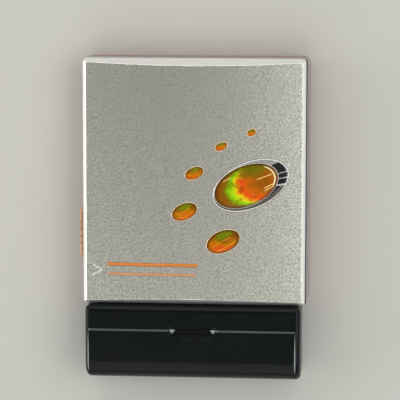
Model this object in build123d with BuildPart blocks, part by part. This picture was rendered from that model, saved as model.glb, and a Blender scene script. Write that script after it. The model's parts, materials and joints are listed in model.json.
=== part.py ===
# Portable disc player with a clip-on dry-battery case, lying on its back. Millimetres.
# X runs to the hinge side, Y to the battery-door side and Z out of the lid.
# The origin is the middle of the player's back face.
import os
from math import cos, pi, sin, sqrt

from build123d import *

os.makedirs("parts", exist_ok=True)

# ---- Driving dimensions: what the player is built around ----
cartridge_x = 68.0
cartridge_y = 72.0
cartridge_z = 5.0
cell_x = 17.0            # flat rechargeable cell
cell_y = 67.0
cell_z = 6.1
dry_cell_radius = 7.25   # round dry cell in the clip-on case
dry_cell_length = 50.5

# Walls and sheets
wall = 0.8
hinge_wall = 0.7
floor = 0.8
deck_thickness = 0.8
holder_sheet = 0.3
panel = 0.7
case_wall = 0.9

# Clearances
slot_clearance = 0.1     # cartridge in its holder
running = 0.05           # a shaft or slide in its bore
snug = 0.02              # a fixed pin in its hole
moving_gap = 0.3         # between bodies that pass each other
seam_gap = 0.2           # closed lid to frame
touch_gap = 0.1          # a piece beside what carries it
merge = 0.01             # how far a solid runs into the one it is joined to
beyond = 1.0             # how far a cut runs past the face it opens

# Room beside the disc holder
latch_room = 0.85
hinge_room = 1.25
side_room = 2.25

# Outline, worked out from the disc, the walls and the room beside the holder
body_x = wall + latch_room + cartridge_x + holder_sheet + hinge_room + hinge_wall
body_y = cartridge_y + 2 * (slot_clearance + holder_sheet + side_room + wall)
left = -body_x / 2
right = body_x / 2
top = body_y / 2
corner_radius = 2.1
back_radius = 2.4        # rounded edge round the back

# Heights, from the back face up
cell_base = floor + touch_gap
deck_base = cell_base + cell_z + moving_gap
deck_top = deck_base + deck_thickness
rim = deck_base          # rear cover meets middle frame
holder_base = deck_top + moving_gap
slot_base = holder_base + holder_sheet
slot_top = slot_base + cartridge_z + 2 * slot_clearance
holder_top = slot_top + holder_sheet
lid_edge_top = holder_top + moving_gap + panel
lid_crown = 2.1          # rise of the lid from its side edges to its middle
lid_top = lid_edge_top + lid_crown
frame_height = 5.0
frame_top = rim + frame_height
hinge_wall_drop = 0.6    # the hinge side is lower, so that the lid can tip over it
lid_base = frame_top + seam_gap
skirt = 0.4
slope_run = 2.1          # how far the end walls of the lid lean in, at its middle

# Lid outline
lid_overlap = 0.2        # lid edge inside the body's edge on the left
lid_end_overlap = 0.15   # and at both ends
lid_left = left + lid_overlap
lid_right = right - hinge_wall - moving_gap
lid_y = top - lid_end_overlap
lid_corner = 1.4
bevel_left = (0.95, 1.1)     # width, height
bevel_right = (0.85, 0.9)
bevel_drop = 0.4         # of the bevels inside the lid, for each millimetre inwards

# Hinge
hinge_inset = 1.35
hinge_drop = 0.7
hinge_x = lid_right - hinge_inset
hinge_z = lid_base - hinge_drop
hinge_pin_radius = 0.55
hinge_pin_bite = 0.45
hinge_arm_radius = 0.9
hinge_notch = 0.3
hinge_notch_height = 0.45

# Disc and spindle
slot_left = left + wall + latch_room
slot_right = slot_left + cartridge_x
spindle_x = (slot_left + slot_right) / 2
slot_half_y = cartridge_y / 2 + slot_clearance
holder_half_y = slot_half_y + holder_sheet

# Shared fixings
boss_x = (-28.0, 10.0)
boss_half = 1.6
boss_inset = 1.2
boss_y = top - wall - boss_inset
boss_base = back_radius
boss_outward = 1.1
boss_inward = 2.0
post_radius = 1.4
deck_screw_shift = 1.0
deck_screw_y = boss_y - deck_screw_shift
screw_radius = 0.65
screw_head_radius = 1.2
screw_head = 0.5
case_screw_drop = 1.5
case_screw_top = rim - case_screw_drop
screw_room = 0.2         # past the end of a screw
deck_screw_radius = 0.5
deck_screw_head = 0.9
deck_head_height = 0.45

# Tongue of the frame inside the rear cover
tongue = 0.7
tongue_depth = 1.0
tongue_opening = 1.4     # past the flat cell, for the door's pin


def rounded_box(x0, x1, y0, y1, z0, z1, radius, mode=Mode.ADD):
    """An upright block between two corners, with rounded upright edges, in the open part."""
    with BuildSketch(Plane.XY.offset(z0)) as profile:
        with Locations(((x0 + x1) / 2, (y0 + y1) / 2)):
            RectangleRounded(x1 - x0, y1 - y0, radius)
    extrude(profile.sketch, amount=z1 - z0, mode=mode)


def block(x0, x1, y0, y1, z0, z1, mode=Mode.ADD):
    """A plain block between two corners, in the open part."""
    with BuildSketch(Plane.XY.offset(z0)) as profile:
        with Locations(((x0 + x1) / 2, (y0 + y1) / 2)):
            Rectangle(x1 - x0, y1 - y0)
    extrude(profile.sketch, amount=z1 - z0, mode=mode)


def upright(x, y, radius, z0, z1, mode=Mode.ADD):
    """A cylinder along Z, in the open part."""
    with BuildSketch(Plane.XY.offset(z0)) as profile:
        with Locations((x, y)):
            Circle(radius)
    extrude(profile.sketch, amount=z1 - z0, mode=mode)


def along_y(x, z, radius, y0, y1, mode=Mode.ADD):
    """A cylinder along Y, in the open part."""
    with BuildSketch(Plane.XZ.offset(-y0)) as profile:
        with Locations((x, z)):
            Circle(radius)
    extrude(profile.sketch, amount=-(y1 - y0), mode=mode)


def along_x(y, z, radius, x0, x1, mode=Mode.ADD):
    """A cylinder along X, in the open part."""
    with BuildSketch(Plane.YZ.offset(x0)) as profile:
        with Locations((y, z)):
            Circle(radius)
    extrude(profile.sketch, amount=x1 - x0, mode=mode)


# ---- Rear cover: orange shell with the back, the keys' holes and the battery door's opening ----
def back_form(inset, z0, radius):
    """The body's outline shrunk by inset, with its back edge rounded, from z0 to the rim."""
    with BuildPart() as form:
        rounded_box(left + inset, right - inset, -top + inset, top - inset, z0, rim, corner_radius - inset)
        fillet(form.faces().sort_by(Axis.Z)[0].edges(), radius)
    return form.part


back_outer = back_form(0, 0, back_radius)
back_inner = back_form(wall, floor, back_radius - wall)

# Controls along the left side
control_z = 4.15
jack_y = 31.0
jack_bore = 1.8
jack_nose = 2.1
jack_length = 12.0
jack_half_y = 3.0
jack_half_z = 2.05
jog_y = 20.0
jog_slot_half = 2.1
jog_height = 2.0
button_y = {"stop_button": 10.5, "volume_up_button": 3.5, "volume_down_button": -3.0, "group_button": -10.0}
button_length = 3.4
button_height = 2.0
hold_y = -23.0
hold_length = 4.0
hold_height = 1.6
hold_travel = 2.0

# Battery bay at the hinge side
cell_left = 15.8
cell_right = cell_left + cell_x
cell_low = -33.0
cell_high = cell_low + cell_y
bay_margin = 0.2
door_pin_side = 0.7
door_pin_inset = 0.55
door_pin_x = cell_right + door_pin_side
door_pin_y = top - door_pin_inset
door_pin_radius = 0.3
door_barrel = 0.5
door_pin_base = 1.3
door_seat = 0.9
door_margin = 0.2
door_x0 = cell_left + door_margin
door_top = rim - moving_gap
door_lift = 0.15
door_base = cell_base + door_lift
ear_depth = 0.6
spring_room = 1.8        # behind the flat cell
door_ear_z = 2.0
door_swing = 0.2         # beside the door's barrel, for its turn
rib = 0.5

# Length of the battery case, worked out from its round cell and the thumb wheel beside it
case_base = 0.3
case_setback = 0.85      # inside the player's left end
case_left = left + case_setback
case_end = 0.9           # left end wall outside the cover
case_block_end = 1.55    # right end wall outside the cover
contact_room = 0.9       # at each end of the cell
divider = 0.8
cover_left = case_left + case_end
cell_start = cover_left + contact_room
cell_stop = cell_start + dry_cell_length
partition_x = cell_stop + contact_room
thumb_z = control_z
wheel_radius = thumb_z - case_base - touch_gap
wheel_room = 3.7         # for the cell's wires, between partition and wheel
wheel_side = 2.1
thumb_x = partition_x + divider + wheel_room + wheel_radius
cover_right = thumb_x + wheel_radius + wheel_side
case_right = cover_right + case_block_end

# Fixings for the battery case, on the side away from the door
terminal_x = (-20.0, -14.0)
terminal_radius = 1.0
terminal_flange = 0.6
terminal_back = 0.5
case_pin_inset = 4.1     # from the case's left end
case_pin_side = 0.9      # beside the thumb wheel
case_pin_x = (case_left + case_pin_inset, thumb_x + wheel_radius + case_pin_side)
case_pin_radius = 1.0
thumb_radius = 1.0
insert_radius = 1.8
insert_length = 3.0
insert_boss = 2.1

# Pads under the main board
pad_x = (-31.0, -19.0)
pad_y = (-30.0, 0.0, 26.0)
pad_radius = 1.0
pad_height = 0.5

with BuildPart() as rear_cover:
    add(back_outer)
    add(back_inner, mode=Mode.SUBTRACT)
    # Ribs beside and behind the cell
    block(cell_left - bay_margin - rib, cell_left - bay_margin, cell_low, cell_high, floor, control_z)
    block(cell_left, cell_right, cell_low - spring_room - rib, cell_low - spring_room, floor, control_z)
    # Boss round the threaded insert
    block(thumb_x - insert_boss, thumb_x + insert_boss, -top + wall, -top + insert_length, floor,
          thumb_z + insert_boss - running)
    along_y(thumb_x, thumb_z, insert_radius, -top, -top + insert_length, Mode.SUBTRACT)
    # Pads that carry the main board
    for x in pad_x:
        for y in pad_y:
            upright(x, y, pad_radius, floor, floor + pad_height)
    # Battery door opening and the ear of its pin
    block(cell_left - bay_margin, cell_right + bay_margin, cell_high, top + beyond, cell_base, rim,
          Mode.SUBTRACT)
    block(cell_right, door_pin_x + door_barrel + door_swing, top - wall - ear_depth, top + beyond, door_ear_z,
          rim, Mode.SUBTRACT)
    upright(door_pin_x, door_pin_y, door_pin_radius + snug, door_pin_base, rim,
            Mode.SUBTRACT)
    # Holes in the left wall
    along_x(jack_y, control_z, jack_nose + snug, left - beyond, left + wall + beyond, Mode.SUBTRACT)
    block(left - beyond, left + wall + merge, jog_y - jog_slot_half, jog_y + jog_slot_half,
          control_z - jog_height / 2 - touch_gap, control_z + jog_height / 2 + touch_gap, Mode.SUBTRACT)
    for y in button_y.values():
        block(left - beyond, left + wall + merge, y - button_length / 2 - running,
              y + button_length / 2 + running, control_z - button_height / 2 - running,
              control_z + button_height / 2 + running, Mode.SUBTRACT)
    block(left - beyond, left + wall + merge, hold_y - hold_length / 2 - running,
          hold_y + hold_length / 2 + hold_travel + running,
          control_z - hold_height / 2 - running, control_z + hold_height / 2 + running, Mode.SUBTRACT)
    # Holes in the side towards the battery case
    for x in terminal_x:
        along_y(x, thumb_z, terminal_radius + snug, -top - beyond, -top + wall + beyond, Mode.SUBTRACT)
    for x in case_pin_x:
        along_y(x, thumb_z, case_pin_radius + running, -top - beyond, -top + wall + beyond, Mode.SUBTRACT)
    # Posts that meet the frame's bosses, with counterbored screw holes
    for x in boss_x:
        for y in (-boss_y, boss_y):
            upright(x, y, post_radius, floor / 2, boss_base)
            upright(x, y, screw_radius + touch_gap, -beyond, boss_base + beyond, Mode.SUBTRACT)
            upright(x, y, screw_head_radius + running, -beyond, screw_head, Mode.SUBTRACT)
rear_cover.part.label = "rear_cover"
export_step(rear_cover.part, "parts/rear_cover.step")

# ---- Middle frame: silver ring with the tongue, screw bosses, slider slot and hinge pin seats ----
slider_length = 15.6
slider_low = -24.7
slider_high = slider_low + slider_length
slider_travel = 1.6
slider_height = 2.9
slider_z = 10.45
slider_proud = 1.2
slider_recess = 0.35
slider_spare = 0.6
stem_length = 6.0
stem_y = (slider_low + slider_high) / 2
bar_height = 1.0
bar_z = slider_z - bar_height / 2
bar_thickness = 0.55
guide_y = 25.0
guide_half = 2.0
guide_reach = 0.6
guide_height = 0.7

with BuildPart() as mid_frame:
    rounded_box(left, right, -top, top, rim, frame_top, corner_radius)
    block(left + wall, right - hinge_wall, -top + wall, top - wall, rim - beyond, frame_top + beyond,
          Mode.SUBTRACT)
    # The hinge side is cut lower
    block(hinge_x + hinge_pin_radius + touch_gap, right + beyond, -top - beyond, top + beyond,
          frame_top - hinge_wall_drop, frame_top + beyond, Mode.SUBTRACT)
    # Tongue that locates the rear cover, and its root beside the deck
    with BuildSketch(Plane.XY.offset(rim - tongue_depth)):
        RectangleRounded(body_x - 2 * (wall + running), body_y - 2 * (wall + running), corner_radius - wall)
        Rectangle(body_x - 2 * (wall + tongue), body_y - 2 * (wall + tongue), mode=Mode.SUBTRACT)
    extrude(amount=tongue_depth)
    with BuildSketch(Plane.XY.offset(rim)):
        Rectangle(body_x - 2 * hinge_wall, body_y - 2 * (wall - merge))
        Rectangle(body_x - 2 * (wall + tongue), body_y - 2 * (wall + tongue), mode=Mode.SUBTRACT)
    extrude(amount=deck_thickness)
    # Screw bosses
    for x in boss_x:
        for y in (-boss_y, boss_y):
            inward = -1 if y > 0 else 1
            y0, y1 = sorted((y - inward * boss_outward, y + inward * boss_inward))
            block(x - boss_half, x + boss_half, y0, y1, boss_base, rim)
            upright(x, y, screw_radius + snug, floor, case_screw_top + screw_room,
                    Mode.SUBTRACT)
            upright(x, y + inward * deck_screw_shift, deck_screw_radius + snug, case_screw_top + moving_gap,
                    rim + beyond, Mode.SUBTRACT)
    # The tongue is open where the flat cell slides in
    block(cell_left - bay_margin, cell_right + tongue_opening, top - wall - tongue - beyond,
          top - wall + merge, rim - tongue_depth - beyond, rim, Mode.SUBTRACT)
    # Seat of the battery door's pin
    upright(door_pin_x, door_pin_y, door_pin_radius + snug, rim - beyond, rim + door_seat, Mode.SUBTRACT)
    # Recess and slot of the opening slider
    block(left - beyond, left + slider_recess, slider_low - slider_travel - slider_spare,
          slider_high + touch_gap, slider_z - slider_height / 2 - touch_gap,
          slider_z + slider_height / 2 + touch_gap, Mode.SUBTRACT)
    block(left - beyond, left + wall + merge, stem_y - stem_length / 2 - slider_travel - touch_gap,
          stem_y + stem_length / 2 + touch_gap, bar_z - running, bar_z + bar_height + running, Mode.SUBTRACT)
    # Guides under the latch bar
    for y in (-guide_y, guide_y):
        block(left + wall - merge, left + wall + guide_reach, y - guide_half, y + guide_half,
              bar_z - touch_gap - guide_height, bar_z - touch_gap)
    # Blind seats of the hinge pins
    for side in (-1, 1):
        seat_end = side * (top - wall + hinge_pin_bite)
        along_y(hinge_x, hinge_z, hinge_pin_radius + snug, side * (top - wall - beyond), seat_end,
                Mode.SUBTRACT)
mid_frame.part.label = "mid_frame"
export_step(mid_frame.part, "parts/mid_frame.step")

# Cross slots of the screws' heads
drive_length = 1.5
drive_width = 0.35
drive_depth = 0.25
with BuildPart() as case_screws:
    for x in boss_x:
        for y in (-boss_y, boss_y):
            upright(x, y, screw_head_radius, running, screw_head)
            upright(x, y, screw_radius, running, case_screw_top)
            with BuildSketch(Plane.XY.offset(running)):
                with Locations((x, y)):
                    Rectangle(drive_length, drive_width)
                    Rectangle(drive_width, drive_length)
            extrude(amount=drive_depth, mode=Mode.SUBTRACT)
case_screws.part.label = "case_screws"
export_step(case_screws.part, "parts/case_screws.step")

hinge_pin_end = holder_half_y + seam_gap
with BuildPart() as hinge_pins:
    for side in (-1, 1):
        along_y(hinge_x, hinge_z, hinge_pin_radius, side * hinge_pin_end,
                side * (top - wall + hinge_pin_bite))
hinge_pins.part.label = "hinge_pins"
export_step(hinge_pins.part, "parts/hinge_pins.step")

# ---- Deck: the floor of the disc bay ----
turntable_radius = 5.0
turntable_room = 2.0
deck_hole = turntable_radius + turntable_room
deck_x = body_x - 2 * (wall + tongue + touch_gap)
deck_y = body_y - 2 * (wall + tongue + touch_gap)
lens_half = 4.4
lens_rest = 16.2
sled_travel = 14.0
window_side = 1.0
window_end = 0.8
window_x = lens_half + window_side
window_low = lens_rest - lens_half - window_end
window_high = lens_rest + sled_travel + lens_half + window_end
damper_points = ((-12.5, -17.0), (11.5, -17.0), (-12.5, 32.0))
damper_radius = 1.8
damper_hole = 0.9
shoulder_radius = 0.8
deck_corner = 0.6
channel_y = (-28.0, -22.0)
channel_half_x = 26.0
channel_half_y = 1.0
channel_depth = 0.25

with BuildPart() as deck_plate:
    rounded_box(-deck_x / 2, deck_x / 2, -deck_y / 2, deck_y / 2, deck_base, deck_top, deck_corner)
    upright(spindle_x, 0, deck_hole, deck_base - beyond, deck_top + beyond, Mode.SUBTRACT)
    rounded_box(spindle_x - window_x, spindle_x + window_x, window_low, window_high,
                deck_base - beyond, deck_top + beyond, window_side, Mode.SUBTRACT)
    for x in boss_x:
        for y in (-deck_screw_y, deck_screw_y):
            upright(x, y, deck_screw_radius + touch_gap, deck_base - beyond, deck_top + beyond, Mode.SUBTRACT)
            upright(x, y, deck_screw_head + touch_gap, deck_top - deck_head_height, deck_top + beyond,
                    Mode.SUBTRACT)
    for x, y in damper_points:
        upright(x, y, shoulder_radius + snug, deck_base - beyond, deck_top + beyond, Mode.SUBTRACT)
    # Shallow stiffening channels in the bay floor
    for y in channel_y:
        rounded_box(-channel_half_x, channel_half_x, y - channel_half_y, y + channel_half_y,
                    deck_top - channel_depth, deck_top + beyond, channel_half_y - touch_gap, Mode.SUBTRACT)
deck_plate.part.label = "deck_plate"
export_step(deck_plate.part, "parts/deck_plate.step")

deck_slot_half = 0.6
deck_slot_width = 0.24
deck_slot_depth = 0.2
with BuildPart() as deck_screws:
    for x in boss_x:
        for y in (-deck_screw_y, deck_screw_y):
            upright(x, y, deck_screw_head, deck_top - deck_head_height, deck_top)
            upright(x, y, deck_screw_radius, case_screw_top + moving_gap + touch_gap,
                    deck_top - deck_slot_depth)
            block(x - deck_slot_half, x + deck_slot_half, y - deck_slot_width / 2, y + deck_slot_width / 2,
                  deck_top - deck_slot_depth, deck_top + beyond, Mode.SUBTRACT)
deck_screws.part.label = "deck_screws"
export_step(deck_screws.part, "parts/deck_screws.step")

# ---- Drive mechanism ----
chassis_sheet = 0.4
damper_height = 0.7
chassis_top = deck_base - damper_height
chassis_base = chassis_top - chassis_sheet
chassis_left = -16.2
chassis_right = cell_left - bay_margin - rib - moving_gap
rod_radius = 0.8
rod_offset = 6.5
rod_z = 4.1
ear_low = 8.7
ear_high = 36.9
ear_thickness = 0.9
ear_drop = 1.3
rod_ear_half = 1.3
screw_ear_half = 1.2
far_ear_thickness = 0.6
ear_end = ear_high + far_ear_thickness
screw_offset = 10.7
screw_x = spindle_x - screw_offset
gear_module = 0.2
gear_teeth = 22
pinion_teeth = 8
gear_pitch_radius = gear_module * gear_teeth / 2
pinion_pitch_radius = gear_module * pinion_teeth / 2
gear_backlash = 0.05
motor_x = screw_x - gear_pitch_radius - pinion_pitch_radius - gear_backlash
gear_low = 5.6
gear_width = 1.6
lead_radius = 0.9
gear_hub = 1.1
journal_radius = 0.5
motor_radius = chassis_base - rod_z - running
gear_margin = 0.6
gear_side = 0.4
chassis_low = -20.0
chassis_shoulder = 34.5
chassis_neck = 7.6
motor_opening = 2.6

with BuildPart() as mechanism_chassis:
    with BuildSketch(Plane.XY.offset(chassis_base)):
        with BuildLine():
            Polyline((chassis_left, chassis_low), (chassis_right, chassis_low),
                     (chassis_right, damper_points[2][1] - damper_radius), (chassis_neck, chassis_shoulder),
                     (chassis_neck, ear_end), (screw_x - gear_margin - beyond, ear_end),
                     (chassis_left, chassis_shoulder), close=True)
        make_face()
        with Locations((spindle_x, 0)):
            Circle(motor_opening, mode=Mode.SUBTRACT)
        with Locations((spindle_x, (window_low + window_high) / 2)):
            Rectangle(2 * window_x, window_high - window_low, mode=Mode.SUBTRACT)
        # Room for the gear on the lead screw and the pinion
        with Locations((screw_x, gear_low + gear_width / 2)):
            Rectangle(2 * (gear_pitch_radius + gear_margin), gear_width + 2 * gear_side, mode=Mode.SUBTRACT)
        with Locations(*damper_points):
            Circle(shoulder_radius + touch_gap, mode=Mode.SUBTRACT)
    extrude(amount=chassis_sheet)
    # Ears that hold the rods and the lead screw
    ear_places = ((spindle_x - rod_offset, rod_ear_half), (spindle_x + rod_offset, rod_ear_half),
                  (screw_x, screw_ear_half))
    for ear_x, half in ear_places:
        for y0, y1 in ((ear_low, ear_low + ear_thickness), (ear_high, ear_end)):
            block(ear_x - half, ear_x + half, y0, y1, rod_z - ear_drop, chassis_base)
    for side in (-1, 1):
        along_y(spindle_x + side * rod_offset, rod_z, rod_radius + snug, ear_low - beyond, ear_end + beyond,
                Mode.SUBTRACT)
    along_y(screw_x, rod_z, journal_radius + running, ear_low - beyond, ear_end + beyond, Mode.SUBTRACT)
mechanism_chassis.part.label = "mechanism_chassis"
export_step(mechanism_chassis.part, "parts/mechanism_chassis.step")

with BuildPart() as chassis_dampers:
    with BuildSketch(Plane.XY.offset(chassis_top)):
        with Locations(*damper_points):
            Circle(damper_radius)
            Circle(damper_hole, mode=Mode.SUBTRACT)
    extrude(amount=deck_base - chassis_top)
chassis_dampers.part.label = "chassis_dampers"
export_step(chassis_dampers.part, "parts/chassis_dampers.step")

shoulder_head = 1.5
with BuildPart() as chassis_screws:
    for x, y in damper_points:
        upright(x, y, shoulder_head, chassis_base - screw_head, chassis_base)
        upright(x, y, shoulder_radius, chassis_base - screw_head, deck_top - running)
chassis_screws.part.label = "chassis_screws"
export_step(chassis_screws.part, "parts/chassis_screws.step")

motor_can_radius = 8.0
motor_can_base = 3.4
motor_can_edge = 0.6
bearing_radius = 1.4
bearing_height = 0.5
shaft_radius = 0.6
with BuildPart() as spindle_motor:
    upright(spindle_x, 0, motor_can_radius, motor_can_base, chassis_base)
    fillet(spindle_motor.faces().sort_by(Axis.Z)[0].edges(), motor_can_edge)
    upright(spindle_x, 0, bearing_radius, motor_can_base - bearing_height, motor_can_base)
    upright(spindle_x, 0, shaft_radius + running, motor_can_base, chassis_base + beyond, Mode.SUBTRACT)
spindle_motor.part.label = "spindle_motor"
export_step(spindle_motor.part, "parts/spindle_motor.step")

with BuildPart() as guide_rods:
    for side in (-1, 1):
        along_y(spindle_x + side * rod_offset, rod_z, rod_radius, ear_low, ear_end)
guide_rods.part.label = "guide_rods"
export_step(guide_rods.part, "parts/guide_rods.step")

sled_motor_low = -9.0
sled_motor_bore = -6.0
sled_motor_gap = 0.8
sled_motor_edge = 0.2
pinion_shaft_low = -5.5
with BuildPart() as sled_motor:
    along_y(motor_x, rod_z, motor_radius, sled_motor_low, gear_low - sled_motor_gap)
    chamfer(sled_motor.faces().sort_by(Axis.Y)[0].edges(), sled_motor_edge)
    along_y(motor_x, rod_z, lead_radius, gear_low - sled_motor_gap, gear_low - moving_gap - seam_gap)
    along_y(motor_x, rod_z, journal_radius + running, sled_motor_bore, gear_low, Mode.SUBTRACT)
sled_motor.part.label = "sled_motor"
export_step(sled_motor.part, "parts/sled_motor.step")


# A tooth's form: depth and height in modules, and half its root and half its tip as shares of the pitch
tooth_depth = 1.1
tooth_height = 0.8
root_share = 0.28
tip_share = 0.11


def tooth_outline(teeth, turn):
    """Points of a fine spur gear: each tooth narrows from its root to its tip."""
    pitch_radius = gear_module * teeth / 2
    root = pitch_radius - tooth_depth * gear_module
    tip = pitch_radius + tooth_height * gear_module
    step = 2 * pi / teeth
    points = []
    for index in range(teeth):
        middle = index * step + turn
        for reach, share in ((root, -root_share), (tip, -tip_share), (tip, tip_share), (root, root_share)):
            angle = middle + share * step
            points.append((reach * cos(angle), reach * sin(angle)))
    return points


def gear(x, teeth, turn):
    """A spur gear about Y at the rods' height, in the open part; its points are laid out in X and Z."""
    with BuildSketch(Plane.XZ.offset(-gear_low)) as profile:
        with BuildLine():
            Polyline(*[(x + px, rod_z + pz) for px, pz in tooth_outline(teeth, turn)], close=True)
        make_face()
    extrude(profile.sketch, amount=-gear_width)


with BuildPart() as lead_screw:
    along_y(screw_x, rod_z, lead_radius, ear_low + ear_thickness + touch_gap, ear_high - touch_gap)
    along_y(screw_x, rod_z, journal_radius, gear_low - gear_side, ear_end)
lead_screw.part.label = "lead_screw"
export_step(lead_screw.part, "parts/lead_screw.step")

# A gap of the gear faces the pinion, and a tooth of the pinion faces the gear.
with BuildPart() as lead_screw_gear:
    gear(screw_x, gear_teeth, pi + pi / gear_teeth)
    along_y(screw_x, rod_z, gear_hub, gear_low + gear_width, ear_low - touch_gap)
    along_y(screw_x, rod_z, journal_radius + snug, gear_low - beyond, ear_low, Mode.SUBTRACT)
lead_screw_gear.part.label = "lead_screw_gear"
export_step(lead_screw_gear.part, "parts/lead_screw_gear.step")

with BuildPart() as motor_pinion:
    gear(motor_x, pinion_teeth, 0)
    along_y(motor_x, rod_z, journal_radius, pinion_shaft_low, gear_low)
motor_pinion.part.label = "motor_pinion"
export_step(motor_pinion.part, "parts/motor_pinion.step")

turntable_base = chassis_top + moving_gap
turntable_top = slot_base
hub_radius = 2.0
hub_rise = 0.6
hub_edge = 0.4
magnet_inner = 2.8
magnet_outer = 4.2
magnet_height = 0.5
with BuildPart() as turntable:
    upright(spindle_x, 0, turntable_radius, turntable_base, turntable_top)
    upright(spindle_x, 0, hub_radius, turntable_top, turntable_top + hub_rise)
    fillet(turntable.faces().sort_by(Axis.Z)[-1].edges(), hub_edge)
    upright(spindle_x, 0, shaft_radius, motor_can_base + touch_gap, turntable_base)
    with BuildSketch(Plane.XY.offset(turntable_top - magnet_height)):
        with Locations((spindle_x, 0)):
            Circle(magnet_outer)
            Circle(magnet_inner, mode=Mode.SUBTRACT)
    extrude(amount=magnet_height, mode=Mode.SUBTRACT)
turntable.part.label = "turntable"
export_step(turntable.part, "parts/turntable.step")

with BuildPart() as clamp_magnet:
    with BuildSketch(Plane.XY.offset(turntable_top - magnet_height)):
        with Locations((spindle_x, 0)):
            Circle(magnet_outer - snug)
            Circle(magnet_inner + snug, mode=Mode.SUBTRACT)
    extrude(amount=magnet_height - running)
clamp_magnet.part.label = "clamp_magnet"
export_step(clamp_magnet.part, "parts/clamp_magnet.step")

sled_low = 10.2
sled_length = 12.0
sled_half_x = 8.0
sled_base = 2.4
sled_top = chassis_base - moving_gap
turret_top = deck_top - seam_gap
lens_radius = 1.6
lens_height = 0.7
lens_edge = 0.3
sled_corner = 1.0
turret_corner = 1.2
sled_arm_half_y = 1.5
sled_arm_half_z = 0.8
with BuildPart() as pickup_sled:
    rounded_box(spindle_x - sled_half_x, spindle_x + sled_half_x, sled_low, sled_low + sled_length,
                sled_base, sled_top, sled_corner)
    rounded_box(spindle_x - lens_half, spindle_x + lens_half, lens_rest - lens_half, lens_rest + lens_half,
                sled_top, turret_top, turret_corner)
    upright(spindle_x, lens_rest, lens_radius + snug, turret_top + touch_gap - lens_height,
            turret_top + beyond, Mode.SUBTRACT)
    # Arm that rides in the lead screw's thread
    block(screw_x + lead_radius + touch_gap, spindle_x - sled_half_x + merge, lens_rest - sled_arm_half_y,
          lens_rest + sled_arm_half_y, rod_z - sled_arm_half_z, rod_z + sled_arm_half_z)
    for side in (-1, 1):
        along_y(spindle_x + side * rod_offset, rod_z, rod_radius + running, sled_low - beyond,
                sled_low + sled_length + beyond, Mode.SUBTRACT)
pickup_sled.part.label = "pickup_sled"
export_step(pickup_sled.part, "parts/pickup_sled.step")

with BuildPart() as objective_lens:
    upright(spindle_x, lens_rest, lens_radius, turret_top + touch_gap - lens_height, turret_top + touch_gap)
    fillet(objective_lens.faces().sort_by(Axis.Z)[-1].edges(), lens_edge)
objective_lens.part.label = "objective_lens"
export_step(objective_lens.part, "parts/objective_lens.step")

# ---- Board, sockets and switches ----
board_base = floor + pad_height
board_thickness = 0.8
board_top = board_base + board_thickness
board_inset = 1.9
board_half_y = 35.0
board_corner = 0.8
board_left = left + wall + board_inset
board_right = chassis_left - moving_gap
with BuildPart() as main_board:
    rounded_box(board_left, board_right, -board_half_y, board_half_y, board_base, board_top, board_corner)
main_board.part.label = "main_board"
export_step(main_board.part, "parts/main_board.step")

chip_height = 1.0
chip_corner = 0.3
chips = ((-24.0, -24.0, 7.0, 7.0), (-22.5, -10.0, 9.0, 9.0), (-23.0, 4.0, 6.0, 8.0), (-19.5, 16.0, 4.5, 6.0),
         (-20.0, 28.0, 4.0, 4.0))  # middle x, middle y, size along x, size along y
with BuildPart() as board_chips:
    for x, y, size_x, size_y in chips:
        rounded_box(x - size_x / 2, x + size_x / 2, y - size_y / 2, y + size_y / 2, board_top,
                    board_top + chip_height, chip_corner)
board_chips.part.label = "board_chips"
export_step(board_chips.part, "parts/board_chips.step")

jack_setback = 0.25
jack_front = left + wall + jack_setback
jack_back_wall = 1.0
jack_mouth = 0.25
with BuildPart() as headphone_jack:
    block(jack_front, jack_front + jack_length, jack_y - jack_half_y, jack_y + jack_half_y,
          board_top, control_z + jack_half_z)
    along_x(jack_y, control_z, jack_nose, left, jack_front)
    along_x(jack_y, control_z, jack_bore, left - beyond, jack_front + jack_length - jack_back_wall,
            Mode.SUBTRACT)
    chamfer(headphone_jack.faces().sort_by(Axis.X)[0].edges().sort_by(SortBy.LENGTH)[0], jack_mouth)
headphone_jack.part.label = "headphone_jack"
export_step(headphone_jack.part, "parts/headphone_jack.step")

press = 0.4
flange = 0.5
stem_reach = 1.75
stem_end = left + wall + stem_reach
switch_face = stem_end + press + running
switch_depth = 2.0
jog_press = 0.5
jog_pivot_depth = 2.6
jog_pivot_x = left + wall + jog_pivot_depth
carrier_height = 0.5
carrier_base = board_top + carrier_height
carrier_reach = 2.2
carrier_back = jog_pivot_x + carrier_reach
switch_half = 1.8
switch_rise = 1.3
switch_corner = 0.3
hold_switch_half = 3.0
hold_switch_drop = 1.0
rail_half = 3.4
rail_inset = 0.3
with BuildPart() as key_switches:
    for y in button_y.values():
        rounded_box(switch_face, switch_face + switch_depth, y - switch_half, y + switch_half, board_top,
                    control_z + switch_rise, switch_corner)
    # Slide switch under the hold slider
    rounded_box(switch_face, switch_face + switch_depth, hold_y - hold_switch_half,
                hold_y + hold_switch_half + hold_travel, board_top, control_z - hold_switch_drop,
                switch_corner)
    # Rail and back stop of the jog lever's carrier
    block(board_left + rail_inset, carrier_back + carrier_reach, jog_y - rail_half, jog_y + rail_half,
          board_top, carrier_base - touch_gap)
    block(carrier_back + jog_press + running, carrier_back + carrier_reach, jog_y - rail_half,
          jog_y + rail_half, board_top, control_z + switch_rise)
key_switches.part.label = "key_switches"
export_step(key_switches.part, "parts/key_switches.step")


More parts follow.
